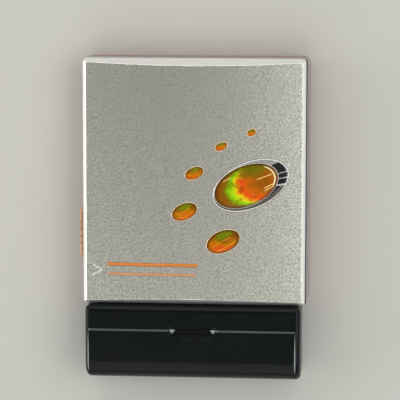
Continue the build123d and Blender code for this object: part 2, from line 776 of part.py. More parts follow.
# Side keys: a rounded cap through the wall, a flange behind it and a stem to its switch
button_proud = 0.3
button_corner = 0.9
button_edge = 0.2
flange_half_y = 2.2
flange_half_z = 1.5
key_stem_half_y = 0.8
key_stem_half_z = 0.6
for button_name, y in button_y.items():
    with BuildPart() as key:
        with BuildSketch(Plane.YZ.offset(left - button_proud)):
            with Locations((y, control_z)):
                RectangleRounded(button_length, button_height, button_corner)
        extrude(amount=button_proud + wall + touch_gap)
        fillet(key.faces().sort_by(Axis.X)[0].edges(), button_edge)
        block(left + wall + running, left + wall + running + flange, y - flange_half_y, y + flange_half_y,
              control_z - flange_half_z, control_z + flange_half_z)
        block(left + wall + running, stem_end, y - key_stem_half_y, y + key_stem_half_y,
              control_z - key_stem_half_z, control_z + key_stem_half_z)
    key.part.label = button_name
    export_step(key.part, "parts/" + button_name + ".step")

hold_proud = 0.5
hold_corner = 0.7
hold_groove = 0.3
hold_groove_depth = 0.2
hold_groove_pitch = 0.8
hold_flange_half_y = 3.4
hold_flange_half_z = 1.3
hold_stem_half_y = 0.6
hold_stem_half_z = 0.7
hold_stem_reach = 1.4
with BuildPart() as hold_slider:
    with BuildSketch(Plane.YZ.offset(left - hold_proud)):
        with Locations((hold_y, control_z)):
            RectangleRounded(hold_length, hold_height, hold_corner)
    extrude(amount=hold_proud + wall + touch_gap)
    for step in (-1, 0, 1):
        groove_y = hold_y + step * hold_groove_pitch
        block(left - beyond, left - hold_proud + hold_groove_depth, groove_y - hold_groove / 2,
              groove_y + hold_groove / 2, control_z - hold_height, control_z + hold_height,
              Mode.SUBTRACT)
    block(left + wall + running, left + wall + running + flange, hold_y - hold_flange_half_y,
          hold_y + hold_flange_half_y, control_z - hold_flange_half_z, control_z + hold_flange_half_z)
    block(left + wall + running, stem_end + hold_stem_reach, hold_y - hold_stem_half_y,
          hold_y + hold_stem_half_y, control_z - hold_stem_half_z, control_z + hold_stem_half_z)
hold_slider.part.label = "hold_slider"
export_step(hold_slider.part, "parts/hold_slider.step")

jog_pin_radius = 0.6
jog_pin_rise = 1.4
carrier_front = 1.0
carrier_half = 3.2
carrier_sheet = 0.5
with BuildPart() as jog_carrier:
    block(left + wall + carrier_front, carrier_back, jog_y - carrier_half, jog_y + carrier_half, carrier_base,
          carrier_base + carrier_sheet)
    upright(jog_pivot_x, jog_y, jog_pin_radius, carrier_base, control_z + jog_pin_rise)
jog_carrier.part.label = "jog_carrier"
export_step(jog_carrier.part, "parts/jog_carrier.step")

jog_proud = 0.9
jog_half = 0.9
jog_hub = 1.5
jog_tip = left - jog_proud
jog_low = control_z - jog_height / 2
with BuildPart() as jog_lever:
    upright(jog_pivot_x, jog_y, jog_hub, jog_low, jog_low + jog_height)
    block(jog_tip + jog_half, jog_pivot_x, jog_y - jog_half, jog_y + jog_half, jog_low, jog_low + jog_height)
    upright(jog_tip + jog_half, jog_y, jog_half, jog_low, jog_low + jog_height)
    upright(jog_pivot_x, jog_y, jog_pin_radius + running, jog_low - beyond, jog_low + jog_height + beyond,
            Mode.SUBTRACT)
jog_lever.part.label = "jog_lever"
export_step(jog_lever.part, "parts/jog_lever.step")

# ---- Flat cell, its contacts and its door ----
cell_corner = 1.4
cell_edge = 0.5
with BuildPart() as battery_cell:
    rounded_box(cell_left, cell_right, cell_low, cell_high, cell_base, cell_base + cell_z, cell_corner)
    fillet(battery_cell.edges().filter_by(Axis.Y), cell_edge)
battery_cell.part.label = "battery_cell"
export_step(battery_cell.part, "parts/battery_cell.step")

contact_x = cell_left + cell_x / 2
contact_sheet = 0.3
contact_half = 2.5
spring_half = 1.5
spring_rise = 0.5
with BuildPart() as battery_contacts:
    block(contact_x - contact_half, contact_x + contact_half, cell_low - spring_room,
          cell_low - spring_room + contact_sheet, cell_base, control_z + spring_half)
    block(contact_x - spring_half, contact_x + spring_half, cell_low - spring_room + contact_sheet / 2,
          cell_low - touch_gap, control_z - spring_half, control_z + spring_rise)
battery_contacts.part.label = "battery_contacts"
export_step(battery_contacts.part, "parts/battery_contacts.step")

with BuildPart() as battery_door:
    block(door_x0, door_pin_x, top - wall, top, door_base, door_top)
    add(back_outer, mode=Mode.INTERSECT)
    block(door_pin_x - door_barrel - beyond, door_pin_x + door_barrel, top - wall - beyond, top + beyond,
          door_base - beyond, door_ear_z + door_lift, Mode.SUBTRACT)
    upright(door_pin_x, door_pin_y, door_barrel, door_ear_z + door_lift, door_top)
    upright(door_pin_x, door_pin_y, door_pin_radius + running, door_ear_z - beyond, door_top + beyond,
            Mode.SUBTRACT)
battery_door.part.label = "battery_door"
export_step(battery_door.part, "parts/battery_door.step")

door_inner = top - wall
door_contact_half = 2.0
stud_radius = 1.0
with BuildPart() as door_contact:
    block(contact_x - door_contact_half, contact_x + door_contact_half, door_inner - contact_sheet,
          door_inner, control_z - spring_half, control_z + spring_half)
    along_y(contact_x, control_z - spring_rise, stud_radius, cell_high + touch_gap,
            door_inner - contact_sheet)
door_contact.part.label = "door_contact"
export_step(door_contact.part, "parts/door_contact.step")

with BuildPart() as door_pin:
    upright(door_pin_x, door_pin_y, door_pin_radius, door_pin_base + running, rim + door_seat - running)
door_pin.part.label = "door_pin"
export_step(door_pin.part, "parts/door_pin.step")

with BuildPart() as external_terminals:
    for x in terminal_x:
        along_y(x, thumb_z, terminal_radius, -top, -top + wall)
        along_y(x, thumb_z, terminal_radius + terminal_flange, -top + wall, -top + wall + terminal_back)
external_terminals.part.label = "external_terminals"
export_step(external_terminals.part, "parts/external_terminals.step")

with BuildPart() as thread_insert:
    along_y(thumb_x, thumb_z, insert_radius - snug, -top, -top + insert_length)
    along_y(thumb_x, thumb_z, thumb_radius + running, -top - beyond, -top + insert_length + beyond,
            Mode.SUBTRACT)
thread_insert.part.label = "thread_insert"
export_step(thread_insert.part, "parts/thread_insert.step")

# ---- Opening slider and latch bar ----
grooves = 4
groove_pitch = 2.3
first_groove = -20.2
groove_half = 0.3
groove_depth = 0.4
slider_corner = 1.2
slider_edge = 0.45
with BuildPart() as open_slider:
    pad_left = left - slider_proud
    with BuildSketch(Plane.YZ.offset(pad_left)):
        with Locations((stem_y, slider_z)):
            RectangleRounded(slider_length, slider_height, slider_corner)
    extrude(amount=slider_proud + slider_recess - running)
    fillet(open_slider.faces().sort_by(Axis.X)[0].edges(), slider_edge)
    for index in range(grooves):
        groove_y = first_groove + index * groove_pitch
        block(pad_left - beyond, pad_left + groove_depth, groove_y - groove_half, groove_y + groove_half,
              slider_z - slider_height, slider_z + slider_height, Mode.SUBTRACT)
    bar_left = left + wall + touch_gap
    block(left + slider_recess - running - merge, bar_left, stem_y - stem_length / 2,
          stem_y + stem_length / 2, bar_z, bar_z + bar_height)
open_slider.part.label = "open_slider"
export_step(open_slider.part, "parts/open_slider.step")

# The bar lies over a foot of the lid at each end. When it slides, one foot is past the bar's end and the
# other stands in the bar's notch.
foot_y = holder_half_y + seam_gap
foot_width = 0.5
foot_cover = 0.35
notch_margin = 0.15
bar_low = -foot_y - foot_cover
bar_high = foot_y + foot_width + notch_margin
notch_low = -foot_y - foot_width - notch_margin + slider_travel
notch_high = -foot_y + notch_margin + slider_travel
with BuildPart() as latch_bar:
    block(bar_left, bar_left + bar_thickness, bar_low, bar_high, bar_z, bar_z + bar_height)
    block(bar_left + bar_thickness / 2, bar_left + bar_thickness + beyond, notch_low, notch_high,
          bar_z - beyond, bar_z + bar_height + beyond, Mode.SUBTRACT)
latch_bar.part.label = "latch_bar"
export_step(latch_bar.part, "parts/latch_bar.step")

# ---- Lid ----
crown_spare = 2.0        # the crown's curve runs on past both side edges
lid_half = (lid_right - lid_left) / 2
lid_middle = (lid_right + lid_left) / 2
slope_height = lid_top - lid_base - skirt
past = 1.2               # the end walls' slopes run on past the top by this factor


def crown_arc(inset):
    """The lid's crowned top line, from its left edge to its right edge, inset below the outer face."""
    reach = lid_half + crown_spare
    fall = lid_crown * (reach / lid_half) ** 2
    return ((lid_middle - reach, lid_top - inset - fall), (lid_middle, lid_top - inset),
            (lid_middle + reach, lid_top - inset - fall))


def crown_height(x):
    """Height of the lid's outer face at x."""
    return lid_top - lid_crown * ((x - lid_middle) / lid_half) ** 2


def under_crown(inset, z0):
    """The space from z0 up to the crowned face, inset below it, wider than the lid."""
    start, middle, end = crown_arc(inset)
    with BuildPart() as space:
        with BuildSketch(Plane.XZ.offset(-body_y)):
            with BuildLine():
                ThreePointArc(start, middle, end)
                Polyline(end, (end[0], z0), (start[0], z0), start)
            make_face()
        extrude(amount=2 * body_y)
    return space.part


def lid_form(inset, z0):
    """The lid's outer form shrunk by inset: crowned across, leaning end walls, bevelled side edges."""
    lean = slope_run / slope_height
    end_y = lid_y - inset
    sharp = lid_corner - inset
    x0 = lid_left + inset
    x1 = lid_right - inset
    shoulder = lid_base + skirt
    side = inset * sqrt(1 + lean * lean) - inset
    left_rise = lid_edge_top - bevel_left[1] - inset * bevel_drop
    right_rise = lid_edge_top - bevel_right[1] - inset * bevel_drop
    crest = lid_top + beyond
    left_run = (crest - left_rise) * bevel_left[0] / bevel_left[1]
    right_run = (crest - right_rise) * bevel_right[0] / bevel_right[1]
    with BuildPart() as form:
        rounded_box(x0, x1, -end_y, end_y, z0, crest, sharp)
        add(under_crown(inset, z0), mode=Mode.INTERSECT)
        with BuildSketch(Plane.YZ.offset(x0 - beyond)):
            with BuildLine():
                Polyline((-end_y, z0), (end_y, z0), (end_y, shoulder), (end_y - side - slope_run * past,
                         shoulder + slope_height * past), (-end_y + side + slope_run * past,
                         shoulder + slope_height * past), (-end_y, shoulder), close=True)
            make_face()
        extrude(amount=x1 - x0 + 2 * beyond, mode=Mode.INTERSECT)
        with BuildSketch(Plane.XZ.offset(-end_y - beyond)):
            with BuildLine():
                Polyline((x0, z0), (x1, z0), (x1, right_rise), (x1 - right_run, crest),
                         (x0 + left_run, crest), (x0, left_rise), close=True)
            make_face()
        extrude(amount=2 * (end_y + beyond), mode=Mode.INTERSECT)
    return form.part


# Oval inlays: centre x, centre y, half length, half width; all lean the same way
oval_turn = 24.0
large_oval = (16.4, -0.6, 10.6, 6.3)
bezel_oval = (17.8, -0.4, 12.6, 7.2)
small_ovals = ((18.0, 16.3, 1.45, 1.05), (8.5, 11.8, 2.0, 1.2), (0.0, 3.3, 3.05, 1.85),
               (-3.1, -9.0, 4.2, 2.55), (9.2, -18.4, 5.5, 3.4))
oval_depth = 0.4
oval_rise = 0.35
small_oval_rise = 0.28
rim_width = 0.25
rim_rise = 0.12


def oval_column(oval, grow, z0, z1, mode=Mode.ADD):
    """An upright column of one oval, grown all round, in the open part."""
    x, y, half_long, half_wide = oval
    with BuildSketch(Plane.XY.offset(z0)) as profile:
        with Locations(Location((x, y), oval_turn)):
            Ellipse(half_long + grow, half_wide + grow)
    extrude(profile.sketch, amount=z1 - z0, mode=mode)


def oval_layer(oval, grow, below, above):
    """A slice of an oval's column between two depths about the crowned face."""
    with BuildPart() as slice_part:
        oval_column(oval, grow, lid_base, lid_top + 2 * beyond)
        add(under_crown(-above, lid_base - beyond), mode=Mode.INTERSECT)
        add(under_crown(below, lid_base - 2 * beyond), mode=Mode.SUBTRACT)
    return slice_part.part


lid_outer = lid_form(0, lid_base)
lid_cavity = lid_form(panel, lid_base - beyond)
lid_boss_x = 24.0
rail_inner = holder_half_y
rail_width = 1.1
rail_y = rail_inner + rail_width / 2
rail_base = lid_base + touch_gap
rail_top = holder_top + running
lid_boss_radius = 0.75
lid_screw_radius = 0.35
lid_screw_head = 0.5
lid_screw_bite = 0.9
lid_head_height = 0.4
gem_edge = 0.25

with BuildPart() as lid_panel:
    add(lid_outer)
    add(lid_cavity, mode=Mode.SUBTRACT)
    for x in (-lid_boss_x, lid_boss_x):
        for y in (-rail_y, rail_y):
            upright(x, y, lid_boss_radius, rail_top, crown_height(x) - panel / 2)
            upright(x, y, lid_screw_radius + snug, rail_top - beyond, rail_top + lid_screw_bite + touch_gap,
                    Mode.SUBTRACT)
    # Notches over the frame's end walls, for the tipping lid
    for side in (-1, 1):
        notch_y = sorted((side * (top - wall - seam_gap), side * (top + beyond)))
        block(hinge_x - hinge_notch, lid_right + beyond, notch_y[0], notch_y[1], lid_base - beyond,
              lid_base + hinge_notch_height, Mode.SUBTRACT)
    add(oval_layer(bezel_oval, 0, oval_depth, beyond), mode=Mode.SUBTRACT)
    for oval in small_ovals:
        add(oval_layer(oval, rim_width, oval_depth, beyond), mode=Mode.SUBTRACT)
lid_panel.part.label = "lid_panel"
export_step(lid_panel.part, "parts/lid_panel.step")

with BuildPart() as large_gem:
    add(oval_layer(large_oval, -rim_width, oval_depth, oval_rise))
    fillet(large_gem.edges().group_by(Axis.Z)[-1], gem_edge)
large_gem.part.label = "large_gem"
export_step(large_gem.part, "parts/large_gem.step")

with BuildPart() as oval_bezel:
    add(oval_layer(bezel_oval, 0, oval_depth, rim_rise))
    add(oval_layer(large_oval, -rim_width, oval_depth + beyond, beyond), mode=Mode.SUBTRACT)
oval_bezel.part.label = "oval_bezel"
export_step(oval_bezel.part, "parts/oval_bezel.step")

with BuildPart() as small_gems:
    for oval in small_ovals:
        add(oval_layer(oval, 0, oval_depth, small_oval_rise))
small_gems.part.label = "small_gems"
export_step(small_gems.part, "parts/small_gems.step")

with BuildPart() as small_rims:
    for oval in small_ovals:
        add(oval_layer(oval, rim_width, oval_depth, rim_rise))
        add(oval_layer(oval, 0, oval_depth + beyond, beyond), mode=Mode.SUBTRACT)
small_rims.part.label = "small_rims"
export_step(small_rims.part, "parts/small_rims.step")

# Holder: a folded sheet pocket, open at the left and in the middle of its floor
lip = 3.0
with BuildPart() as disc_holder:
    block(slot_left, slot_right + holder_sheet, -holder_half_y, holder_half_y, holder_base, holder_top)
    block(slot_left - beyond, slot_right, -slot_half_y, slot_half_y, slot_base, slot_top, Mode.SUBTRACT)
    block(slot_left - beyond, slot_right - lip, -slot_half_y + lip, slot_half_y - lip, holder_base - beyond,
          slot_base + merge, Mode.SUBTRACT)
disc_holder.part.label = "disc_holder"
export_step(disc_holder.part, "parts/disc_holder.step")

tab_thickness = 0.6
tab_x = slot_left + touch_gap
foot_reach = 0.15
crossbar_x = 11.0
crossbar_half = 1.6
crossbar_height = 0.6
crossbar_top = holder_top + touch_gap + crossbar_height
crossbar_reach = 0.8
crossbar_end = rail_inner + crossbar_reach
arm_inset = 0.25
root_height = 0.4
foot_depth = 0.7
with BuildPart() as lid_frame:
    for side in (-1, 1):
        inner = side * rail_inner
        outer = side * (rail_inner + rail_width)
        y0 = min(inner, outer)
        y1 = max(inner, outer)
        block(slot_left, slot_right + holder_sheet, y0, y1, rail_base, rail_top)
        for x in (-crossbar_x, crossbar_x):
            y0, y1 = sorted((inner, side * crossbar_end))
            block(x - crossbar_half, x + crossbar_half, y0, y1, rail_top - merge, crossbar_top)
        # Hinge arm round the pin
        arm_y0, arm_y1 = sorted((side * (rail_inner + arm_inset), side * (top - wall - moving_gap)))
        along_y(hinge_x, hinge_z, hinge_arm_radius, arm_y0, arm_y1)
        block(hinge_x - hinge_arm_radius, slot_right + holder_sheet, arm_y0, arm_y1, hinge_z,
              rail_base + root_height)
        along_y(hinge_x, hinge_z, hinge_pin_radius + running, arm_y0 - beyond, arm_y1 + beyond, Mode.SUBTRACT)
        # Latch tab with a foot towards the latch bar
        tab_y0, tab_y1 = sorted((side * foot_y, side * (top - wall - moving_gap)))
        block(tab_x, tab_x + tab_thickness, tab_y0, tab_y1, bar_z - foot_depth, rail_base + root_height)
        foot_y0 = min(side * foot_y, side * (foot_y + foot_width))
        block(tab_x - foot_reach, tab_x + merge, foot_y0, foot_y0 + foot_width, bar_z - foot_depth,
              bar_z - seam_gap)
        for x in (-lid_boss_x, lid_boss_x):
            upright(x, side * rail_y, lid_screw_radius + touch_gap, rail_base - beyond, rail_top + beyond,
                    Mode.SUBTRACT)
    for x in (-crossbar_x, crossbar_x):
        block(x - crossbar_half, x + crossbar_half, -crossbar_end, crossbar_end, holder_top + touch_gap,
              crossbar_top)
lid_frame.part.label = "lid_frame"
export_step(lid_frame.part, "parts/lid_frame.step")

with BuildPart() as lid_screws:
    for x in (-lid_boss_x, lid_boss_x):
        for y in (-rail_y, rail_y):
            upright(x, y, lid_screw_head, rail_base - lid_head_height, rail_base)
            upright(x, y, lid_screw_radius, rail_base - lid_head_height, rail_top + lid_screw_bite)
lid_screws.part.label = "lid_screws"
export_step(lid_screws.part, "parts/lid_screws.step")

# ---- Dry-battery case below the player ----
case_gap = 0.1
case_near = -top - case_gap
case_length = 24.0
case_far = case_near - case_length
case_clearance = 0.2
case_height = 2 * (dry_cell_radius + case_clearance + case_wall)
case_top = case_base + case_height
near_radius = 2.0
far_top_radius = 6.0
far_base_radius = 3.0
end_radius = 1.6
seam_edge = 0.2
seam_offset = 7.45
locating_bite = 1.4
locating_reach = 1.8
seam_y = case_near - seam_offset
cell_axis_y = case_far + case_wall + case_clearance + dry_cell_radius
cell_axis_z = case_base + case_wall + case_clearance + dry_cell_radius
divider_room = 0.15
divider_y = cell_axis_y + dry_cell_radius + divider_room
cover_pin_height = 3.1
cover_pin_z = case_base + cover_pin_height
cover_barrel = 1.05
cover_pin_y = case_far + cover_barrel
cover_pin_radius = 0.5
cover_gap = 0.12
wheel_setback = 4.2
wheel_near = case_near - wheel_setback
wheel_width = 3.0
wheel_far = wheel_near - wheel_width


def case_form(inset, x0, x1):
    """The battery case's section in Y and Z, shrunk by inset, drawn out along X."""
    y0 = case_far + inset
    y1 = case_near - inset
    z0 = case_base + inset
    z1 = case_top - inset
    with BuildPart() as form:
        with BuildSketch(Plane.YZ.offset(x0)) as section:
            with Locations(((y0 + y1) / 2, (z0 + z1) / 2)):
                Rectangle(y1 - y0, z1 - z0)
            near_side = section.vertices().sort_by(Axis.X)[-2:]
            fillet(near_side, near_radius - inset)
            far_side = section.vertices().sort_by(Axis.X)[:2].sort_by(Axis.Y)
            fillet(far_side[-1], far_top_radius - inset)
            fillet(section.vertices().group_by(Axis.X)[0].sort_by(Axis.Y)[0], far_base_radius - inset)
        extrude(amount=x1 - x0)
    return form.part


with BuildPart() as rounded_case:
    add(case_form(0, case_left, case_right))
    fillet(rounded_case.faces().sort_by(Axis.X)[0].edges(), end_radius)
    fillet(rounded_case.faces().sort_by(Axis.X)[-1].edges(), end_radius)
case_solid = rounded_case.part
case_hollow = case_form(case_wall, cover_left, cover_right)
notch_x = -0.6
notch_half = 7.45
notch_ramp = 1.0
notch_up = 0.8
notch_down = 1.6
notch_depth = 0.55
hook_window = 1.6
hook_depth = 0.3
hook_x = (-25.6, 26.1)
hook_inset = 3.3
hook_y = case_near - hook_inset
partition_inset = 2.0
wheel_gap = 0.2
wheel_rib = 2.2
contact_pin_radius = 0.6
cover_pin_bite = 0.4
cover_pin_length = 4.0
pin_edge = 0.3


def finger_notch():
    """The shallow finger notch across the seam, with sloping ends."""
    with BuildPart() as notch:
        with BuildSketch(Plane.XZ.offset(-(seam_y - notch_down))):
            with BuildLine():
                Polyline((notch_x - notch_half, case_top + beyond), (notch_x - notch_half, case_top),
                         (notch_x - notch_half + notch_ramp, case_top - notch_depth),
                         (notch_x + notch_half - notch_ramp, case_top - notch_depth),
                         (notch_x + notch_half, case_top), (notch_x + notch_half, case_top + beyond),
                         close=True)
            make_face()
        extrude(amount=-(notch_up + notch_down))
    return notch.part


def cover_space(grow):
    """The part of the case's form that belongs to the cover, grown by a gap."""
    with BuildPart() as space:
        block(cover_left - grow, cover_right + grow, case_far - beyond, seam_y + grow, cover_pin_z,
              case_top + beyond)
        along_x(cover_pin_y, cover_pin_z, cover_barrel + grow, cover_left - grow, cover_right + grow)
    return space.part


with BuildPart() as case_shell:
    add(case_solid)
    add(case_hollow, mode=Mode.SUBTRACT)
    # Divider between the cell and the electronics, and the partition beside the thumb wheel
    block(cover_left - merge, partition_x + divider, divider_y, divider_y + divider,
          case_base + case_wall / 2, case_top - case_wall / 2)
    block(partition_x, partition_x + divider, case_far + case_wall / 2 + partition_inset,
          case_near - case_wall / 2, case_base + case_wall / 2, case_top - case_wall - touch_gap)
    # Ribs that carry the thumb screw
    for y in (wheel_near + moving_gap, wheel_far - moving_gap - divider):
        block(partition_x, cover_right + merge, y, y + divider, case_base + case_wall / 2,
              thumb_z + wheel_rib)
    add(cover_space(cover_gap), mode=Mode.SUBTRACT)
    add(finger_notch(), mode=Mode.SUBTRACT)
    # Room for the cover's wall when it hangs open
    block(cover_left - cover_gap, cover_right + cover_gap, case_far - beyond, cover_pin_y,
          cover_pin_z - cover_barrel - cover_gap, cover_pin_z, Mode.SUBTRACT)
    # Slot through which the thumb wheel is turned
    block(thumb_x - wheel_radius - wheel_gap, thumb_x + wheel_radius + wheel_gap, wheel_far - wheel_gap,
          wheel_near + wheel_gap, case_base - beyond, case_base + case_wall + merge, Mode.SUBTRACT)
    along_y(thumb_x, thumb_z, thumb_radius + running, wheel_far - moving_gap - divider - beyond,
            case_near + beyond, Mode.SUBTRACT)
    # Holes of the locating pins and of the terminal pins
    for x in case_pin_x:
        along_y(x, thumb_z, case_pin_radius + snug, case_near - locating_bite, case_near + beyond,
                Mode.SUBTRACT)
    for x in terminal_x:
        along_y(x, thumb_z, contact_pin_radius + snug, case_near - case_wall - beyond, case_near + beyond,
                Mode.SUBTRACT)
    # Seats of the cover's pins
    along_x(cover_pin_y, cover_pin_z, cover_pin_radius + snug, cover_left - cover_pin_bite - touch_gap,
            cover_right + cover_pin_bite + touch_gap, Mode.SUBTRACT)
    # Shallow windows of the snap hooks
    for x in hook_x:
        block(x - hook_window / 2, x + hook_window / 2, hook_y - hook_window / 2, hook_y + hook_window / 2,
              case_top - hook_depth, case_top + beyond, Mode.SUBTRACT)
case_shell.part.label = "case_shell"
export_step(case_shell.part, "parts/case_shell.step")

with BuildPart() as locating_pins:
    for x in case_pin_x:
        along_y(x, thumb_z, case_pin_radius, case_near - locating_bite, case_near + locating_reach)
        chamfer(locating_pins.faces().sort_by(Axis.Y)[-1].edges(), pin_edge)
locating_pins.part.label = "locating_pins"
export_step(locating_pins.part, "parts/locating_pins.step")

with BuildPart() as case_cover:
    add(case_solid)
    add(case_form(case_wall, case_left - beyond, case_right + beyond), mode=Mode.SUBTRACT)
    add(cover_space(0), mode=Mode.INTERSECT)
    seam_line = case_cover.edges().filter_by(Axis.X).filter_by_position(Axis.Y, seam_y - merge,
                                 seam_y + merge)
    fillet(seam_line.sort_by(Axis.Z)[-1], seam_edge)
    along_x(cover_pin_y, cover_pin_z, cover_barrel, cover_left + running, cover_right - running)
    along_x(cover_pin_y, cover_pin_z, cover_pin_radius + running, cover_left - beyond, cover_right + beyond,
            Mode.SUBTRACT)
    add(finger_notch(), mode=Mode.SUBTRACT)
case_cover.part.label = "case_cover"
export_step(case_cover.part, "parts/case_cover.step")

with BuildPart() as cover_pins:
    along_x(cover_pin_y, cover_pin_z, cover_pin_radius, cover_left - cover_pin_bite,
            cover_left + cover_pin_length)
    along_x(cover_pin_y, cover_pin_z, cover_pin_radius, cover_right - cover_pin_length,
            cover_right + cover_pin_bite)
cover_pins.part.label = "cover_pins"
export_step(cover_pins.part, "parts/cover_pins.step")

nub_radius = 2.6
nub_length = 1.0
with BuildPart() as dry_cell:
    along_x(cell_axis_y, cell_axis_z, dry_cell_radius, cell_start, cell_stop - nub_length)
    fillet(dry_cell.edges(), cell_edge)
    along_x(cell_axis_y, cell_axis_z, nub_radius, cell_stop - nub_length, cell_stop)
dry_cell.part.label = "dry_cell"
export_step(dry_cell.part, "parts/dry_cell.step")

plate_half = 4.0
minus_spring = 2.5
plus_button = 2.0
with BuildPart() as case_contacts:
    for x in (cover_left + running, partition_x - running - contact_sheet):
        block(x, x + contact_sheet, cell_axis_y - plate_half, cell_axis_y + plate_half,
              cell_axis_z - plate_half, cell_axis_z + plate_half)
    along_x(cell_axis_y, cell_axis_z, minus_spring, cover_left + running + contact_sheet, cell_start)
    along_x(cell_axis_y, cell_axis_z, plus_button, cell_stop, partition_x - running - contact_sheet)
case_contacts.part.label = "case_contacts"
export_step(case_contacts.part, "parts/case_contacts.step")

small_board_inset = 3.0
small_board_room = 1.0
small_board_gap = 0.7
small_board_left = case_left + small_board_inset
small_board_right = partition_x - small_board_room
small_board_base = case_base + case_wall + touch_gap
small_board_top = small_board_base + board_thickness
small_board_far = divider_y + divider + moving_gap
small_board_near = case_near - case_wall - small_board_gap
coil_margin = 0.3
coil_height = 3.0
coils = ((-5.0, 6.0), (6.0, 5.0))  # middle x, length
with BuildPart() as case_board:
    block(small_board_left, small_board_right, small_board_far, small_board_near, small_board_base,
          small_board_top)
    for x, size in coils:
        rounded_box(x - size / 2, x + size / 2, small_board_far + coil_margin, small_board_near - coil_margin,
                    small_board_top - merge, small_board_top + coil_height, chip_corner)
case_board.part.label = "case_board"
export_step(case_board.part, "parts/case_board.step")

contact_pin_root = 0.9
contact_pin_back = 1.4
with BuildPart() as terminal_pins:
    for x in terminal_x:
        along_y(x, thumb_z, contact_pin_radius, case_near - case_wall, case_near + case_gap)
        along_y(x, thumb_z, contact_pin_root, case_near - case_wall - contact_pin_back, case_near - case_wall)
terminal_pins.part.label = "terminal_pins"
export_step(terminal_pins.part, "parts/terminal_pins.step")

knurls = 30
knurl_radius = 0.17
thumb_tip_room = 0.6
with BuildPart() as thumb_screw:
    along_y(thumb_x, thumb_z, wheel_radius, wheel_far, wheel_near)
    chamfer(thumb_screw.edges(), pin_edge)
    for index in range(knurls):
        angle = 2 * pi * index / knurls
        along_y(thumb_x + wheel_radius * cos(angle), thumb_z + wheel_radius * sin(angle), knurl_radius,
                wheel_far - beyond, wheel_near + beyond, Mode.SUBTRACT)
    along_y(thumb_x, thumb_z, thumb_radius, wheel_far - moving_gap - divider + touch_gap,
            -top + insert_length - thumb_tip_room)
thumb_screw.part.label = "thumb_screw"
export_step(thumb_screw.part, "parts/thumb_screw.step")
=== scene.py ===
import json
from math import cos, exp, log, pi, radians, sin, sqrt

import bmesh
import bpy
from mathutils import Matrix, Vector


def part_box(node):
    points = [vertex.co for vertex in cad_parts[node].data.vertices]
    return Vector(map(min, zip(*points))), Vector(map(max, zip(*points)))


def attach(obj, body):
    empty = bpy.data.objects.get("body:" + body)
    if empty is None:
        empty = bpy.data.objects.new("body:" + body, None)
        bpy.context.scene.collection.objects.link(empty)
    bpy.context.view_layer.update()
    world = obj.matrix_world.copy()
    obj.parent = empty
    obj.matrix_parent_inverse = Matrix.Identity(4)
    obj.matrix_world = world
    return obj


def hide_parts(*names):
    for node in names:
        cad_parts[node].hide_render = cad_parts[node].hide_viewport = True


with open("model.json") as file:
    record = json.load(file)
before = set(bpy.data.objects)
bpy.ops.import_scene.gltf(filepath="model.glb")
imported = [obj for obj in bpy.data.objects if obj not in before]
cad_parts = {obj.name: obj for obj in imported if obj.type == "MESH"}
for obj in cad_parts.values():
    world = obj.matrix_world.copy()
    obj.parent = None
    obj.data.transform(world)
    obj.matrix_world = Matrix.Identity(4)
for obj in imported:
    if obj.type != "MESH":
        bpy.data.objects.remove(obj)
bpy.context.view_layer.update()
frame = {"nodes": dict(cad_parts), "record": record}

MM = 0.001


def box(node):
    """Lowest and highest corners of a CAD node."""
    low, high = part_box(node)
    return Vector(low), Vector(high)


# ---- Sizes of the lid ----
lid_low, lid_high = box("lid_panel")
LID_MIDDLE_X = (lid_low.x + lid_high.x) / 2
LID_HALF_X = (lid_high.x - lid_low.x) / 2
LID_TOP = lid_high.z
LID_CROWN = 2.1 * MM       # rise from the side edges to the middle
LID_PANEL = 0.7 * MM
LID_SKIRT = 0.4 * MM       # upright foot of the end bands
LID_CORNER = 1.4 * MM
LID_CREASE = 0.06 * MM     # roundness of the creases between the lid's faces
BAND_SLOPE = 2.1           # rise over run of the end bands
BEVEL_LEFT = (0.95 * MM, 1.1 * MM)     # width, height
BEVEL_RIGHT = (0.85 * MM, 0.9 * MM)
BEVEL_DROP = 0.4           # how far the bevels sink on the panel's inside, as a share of its thickness
SIDE_STRIP = 2.2 * MM      # finely divided strips along the lid's sides
END_STRIP = 2.6 * MM       # and along its ends
HINGE_NOTCH_START = 0.25 * MM          # outwards from the inner side of the hinge pins
HINGE_NOTCH_LENGTH = 0.85 * MM         # from each end of the lid
HINGE_NOTCH_HEIGHT = 0.45 * MM

# Oval inlays: centre x, centre y, half length, half width
OVAL_TURN = radians(24)
LARGE_OVAL = (16.4 * MM, -0.6 * MM, 10.6 * MM, 6.3 * MM)
BEZEL_OVAL = (17.8 * MM, -0.4 * MM, 12.6 * MM, 7.2 * MM)
SMALL_OVALS = [tuple(value * MM for value in oval) for oval in
               ((18.0, 16.3, 1.45, 1.05), (8.5, 11.8, 2.0, 1.2), (0.0, 3.3, 3.05, 1.85),
                (-3.1, -9.0, 4.2, 2.55), (9.2, -18.4, 5.5, 3.4))]


def crown_height(x):
    """Height of the lid's crowned face at x."""
    return LID_TOP - LID_CROWN * ((x - LID_MIDDLE_X) / LID_HALF_X) ** 2


